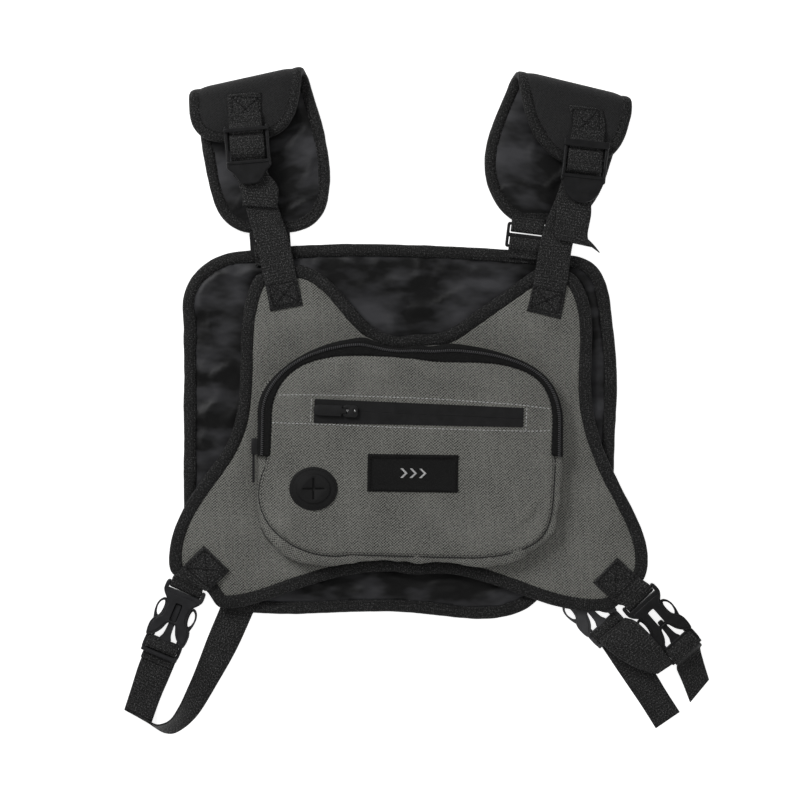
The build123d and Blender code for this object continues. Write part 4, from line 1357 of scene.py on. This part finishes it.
def side_straps():
    wrap = [(39.8, -2.4), (39.1, 0.6), (39.5, 2.9), (42.2, 3.7), (45.6, 3.4), (46.6, 1.0), (46.9, -1.6),
            (49.5, -2.9)]
    no_tail = ([], [])
    plug_wrap("left", "left_plug_strap", wrap + [(53, -3.2), (57, -3.4)], no_tail, "left_plug",
              "left_strap_end")
    run = ribbon("left_strap_run",
                 [(-203.8, -186, 2.2), (-206.5, -193, 1.5), (-210, -202, 1.2), (-215, -218, 1.2),
                  (-220, -233.4, 1.3)],
                 [(-180.2, -195.5, 2.2), (-183, -202.5, 1.5), (-187, -212, 1.2), (-193, -226, 1.6),
                  (-199.2, -243.6, 4.4)], None, seed=5.0, wave=0.3)
    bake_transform(run)
    loop = ribbon("left_strap_loop",
                  [(-220, -233.4, 1.2), (-213, -237, 1.1), (-206, -240.4, 1.0), (-199, -246, 1.0),
                   (-189, -251.6, 1.0), (-179, -250.4, 1.0), (-164.5, -238, 1.0), (-149, -213, 1.0),
                   (-135, -188, 1.0), (-121.4, -158, 2.6)],
                  [(-199.4, -243.6, 4.6), (-198.8, -243.8, 10.5), (-196.5, -244.2, 16.5),
                   (-191.5, -243.6, 20.5), (-184, -239.8, 21.0), (-177.5, -230.5, 17.0), (-171.5, -217, 10.5),
                   (-164.5, -199, 4.0), (-157, -179, 1.5), (-147.5, -156.5, 2.8)],
                  None, "left_strap", seed=6.0, wave=0.2)
    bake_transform(loop)
    tail = ([(214.0, -187, 7.25), (216.6, -197, 5.45), (221, -211, 3.45)],
            [(196.2, -203, 7.25), (200.6, -213, 5.45), (206.6, -228.4, 3.45)])
    cover = [(39.9, -2.4), (39.7, 0.4), (40.5, 3.0), (43, 3.9), (48, 3.6), (51.4, 1.9), (52.6, -0.6),
             (54, -3.4)]
    plug_wrap("right", "right_tail_strap", cover, tail, "right_plug", "right_front_tail")
    tail = ([(170.5, -190, 1.1), (180, -205, 1.1), (189, -220, 1.1), (199.2, -235.8, 1.1)],
            [(150.5, -202, 1.1), (160.4, -216.6, 1.1), (170.4, -231.4, 1.1), (181, -248.2, 1.1)])
    plug_wrap("rear", "rear_tail_strap", wrap + [(52, -2.9)], tail, "rear_plug", "rear_tail", seed=7.0)
    hem = [(even(np.array([(176.2, -237.6, 2.1), (191.6, -226.4, 2.1)]), 2.0), False)]
    sewn("rear_tail_hem", hem, BLACK_THREAD, "rear_plug", "webbing", pitch=2.9, long=2.1, radius=0.4)
    link = ribbon("right_link_strap",
                  [(157.6, -164.0, 9.2), (164.2, -165.8, 14.6), (171.8, -172.4, 17.4), (180, -181.4, 17.8),
                   (187.2, -190.4, 17.0), (192.8, -197.6, 15.8)],
                  [(136.8, -181, 8.8), (143, -186.8, 10.6), (152, -194, 11.6), (163, -200.4, 12.0),
                   (173.5, -204.4, 11.4), (181.4, -206.2, 9.8)], None, "right_link_webbing", seed=8.0)
    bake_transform(link)


# ---------------------------------------------------------------- camera, light and floor

def studio():
    """A white floor under large soft lights, and a camera straight above the vest, all in metres."""
    bpy.ops.mesh.primitive_plane_add(size=12, location=(0, 0, -0.0004))
    floor = bpy.context.object
    floor.name = "floor"
    shade = Shade("floor", (0.93, 0.93, 0.93), 0.9, Emission_Strength=0.8)
    shade.shader.inputs["Emission Color"].default_value = (1, 1, 1, 1)
    floor.data.materials.append(shade.material)
    for name, place, size, power in (
        ("key", (-1.1, 1.1, 1.3), 0.7, 18), ("fill", (1.2, 0.3, 1.3), 1.0, 2.5),
        ("front", (0.2, -1.3, 1.2), 1.0, 2.5), ("above", (0.0, 0.0, 2.6), 1.6, 8),
    ):
        lamp = bpy.data.lights.new(name, "AREA")
        lamp.size = size
        lamp.energy = power
        holder = linked(name, lamp)
        holder.location = place
        holder.rotation_euler = (-Vector(place)).to_track_quat("-Z", "Y").to_euler()
        holder.visible_glossy = name != "above"
    world = bpy.data.worlds.new("studio")
    world.use_nodes = True
    tree = world.node_tree
    background = tree.nodes["Background"]
    background.inputs[0].default_value = (1, 1, 1, 1)
    rays = tree.nodes.new("ShaderNodeLightPath")
    strength = tree.nodes.new("ShaderNodeMapRange")
    strength.inputs["To Min"].default_value = 0.15
    strength.inputs["To Max"].default_value = 1.0
    tree.links.new(rays.outputs["Is Camera Ray"], strength.inputs["Value"])
    tree.links.new(strength.outputs[0], background.inputs[1])
    bpy.context.scene.world = world
    data = bpy.data.cameras.new("camera")
    data.lens = 120
    data.sensor_width = 36
    camera = linked("camera", data)
    camera.location = (-0.012, -0.0004, 2.014)
    bpy.context.scene.camera = camera
    bpy.context.scene.view_settings.view_transform = "Standard"


studio()
back_panel()
front_panel()
gusset()
pocket_face()
main_zip()
front_zip()
label()
cable_port()
zip_sliders()
shoulder_pad("left", 41.0)
shoulder_pad("right", 53.0)
shoulder_straps()
rear_straps()
corner_tabs()
# The left buckle takes the lighter plastic with painted reflection.
for side, plastic in (("left", REFLECTION_LIT_PLASTIC), ("right", DARK_PLASTIC), ("rear", PALE_PLASTIC)):
    buckle(side, plastic)
side_straps()
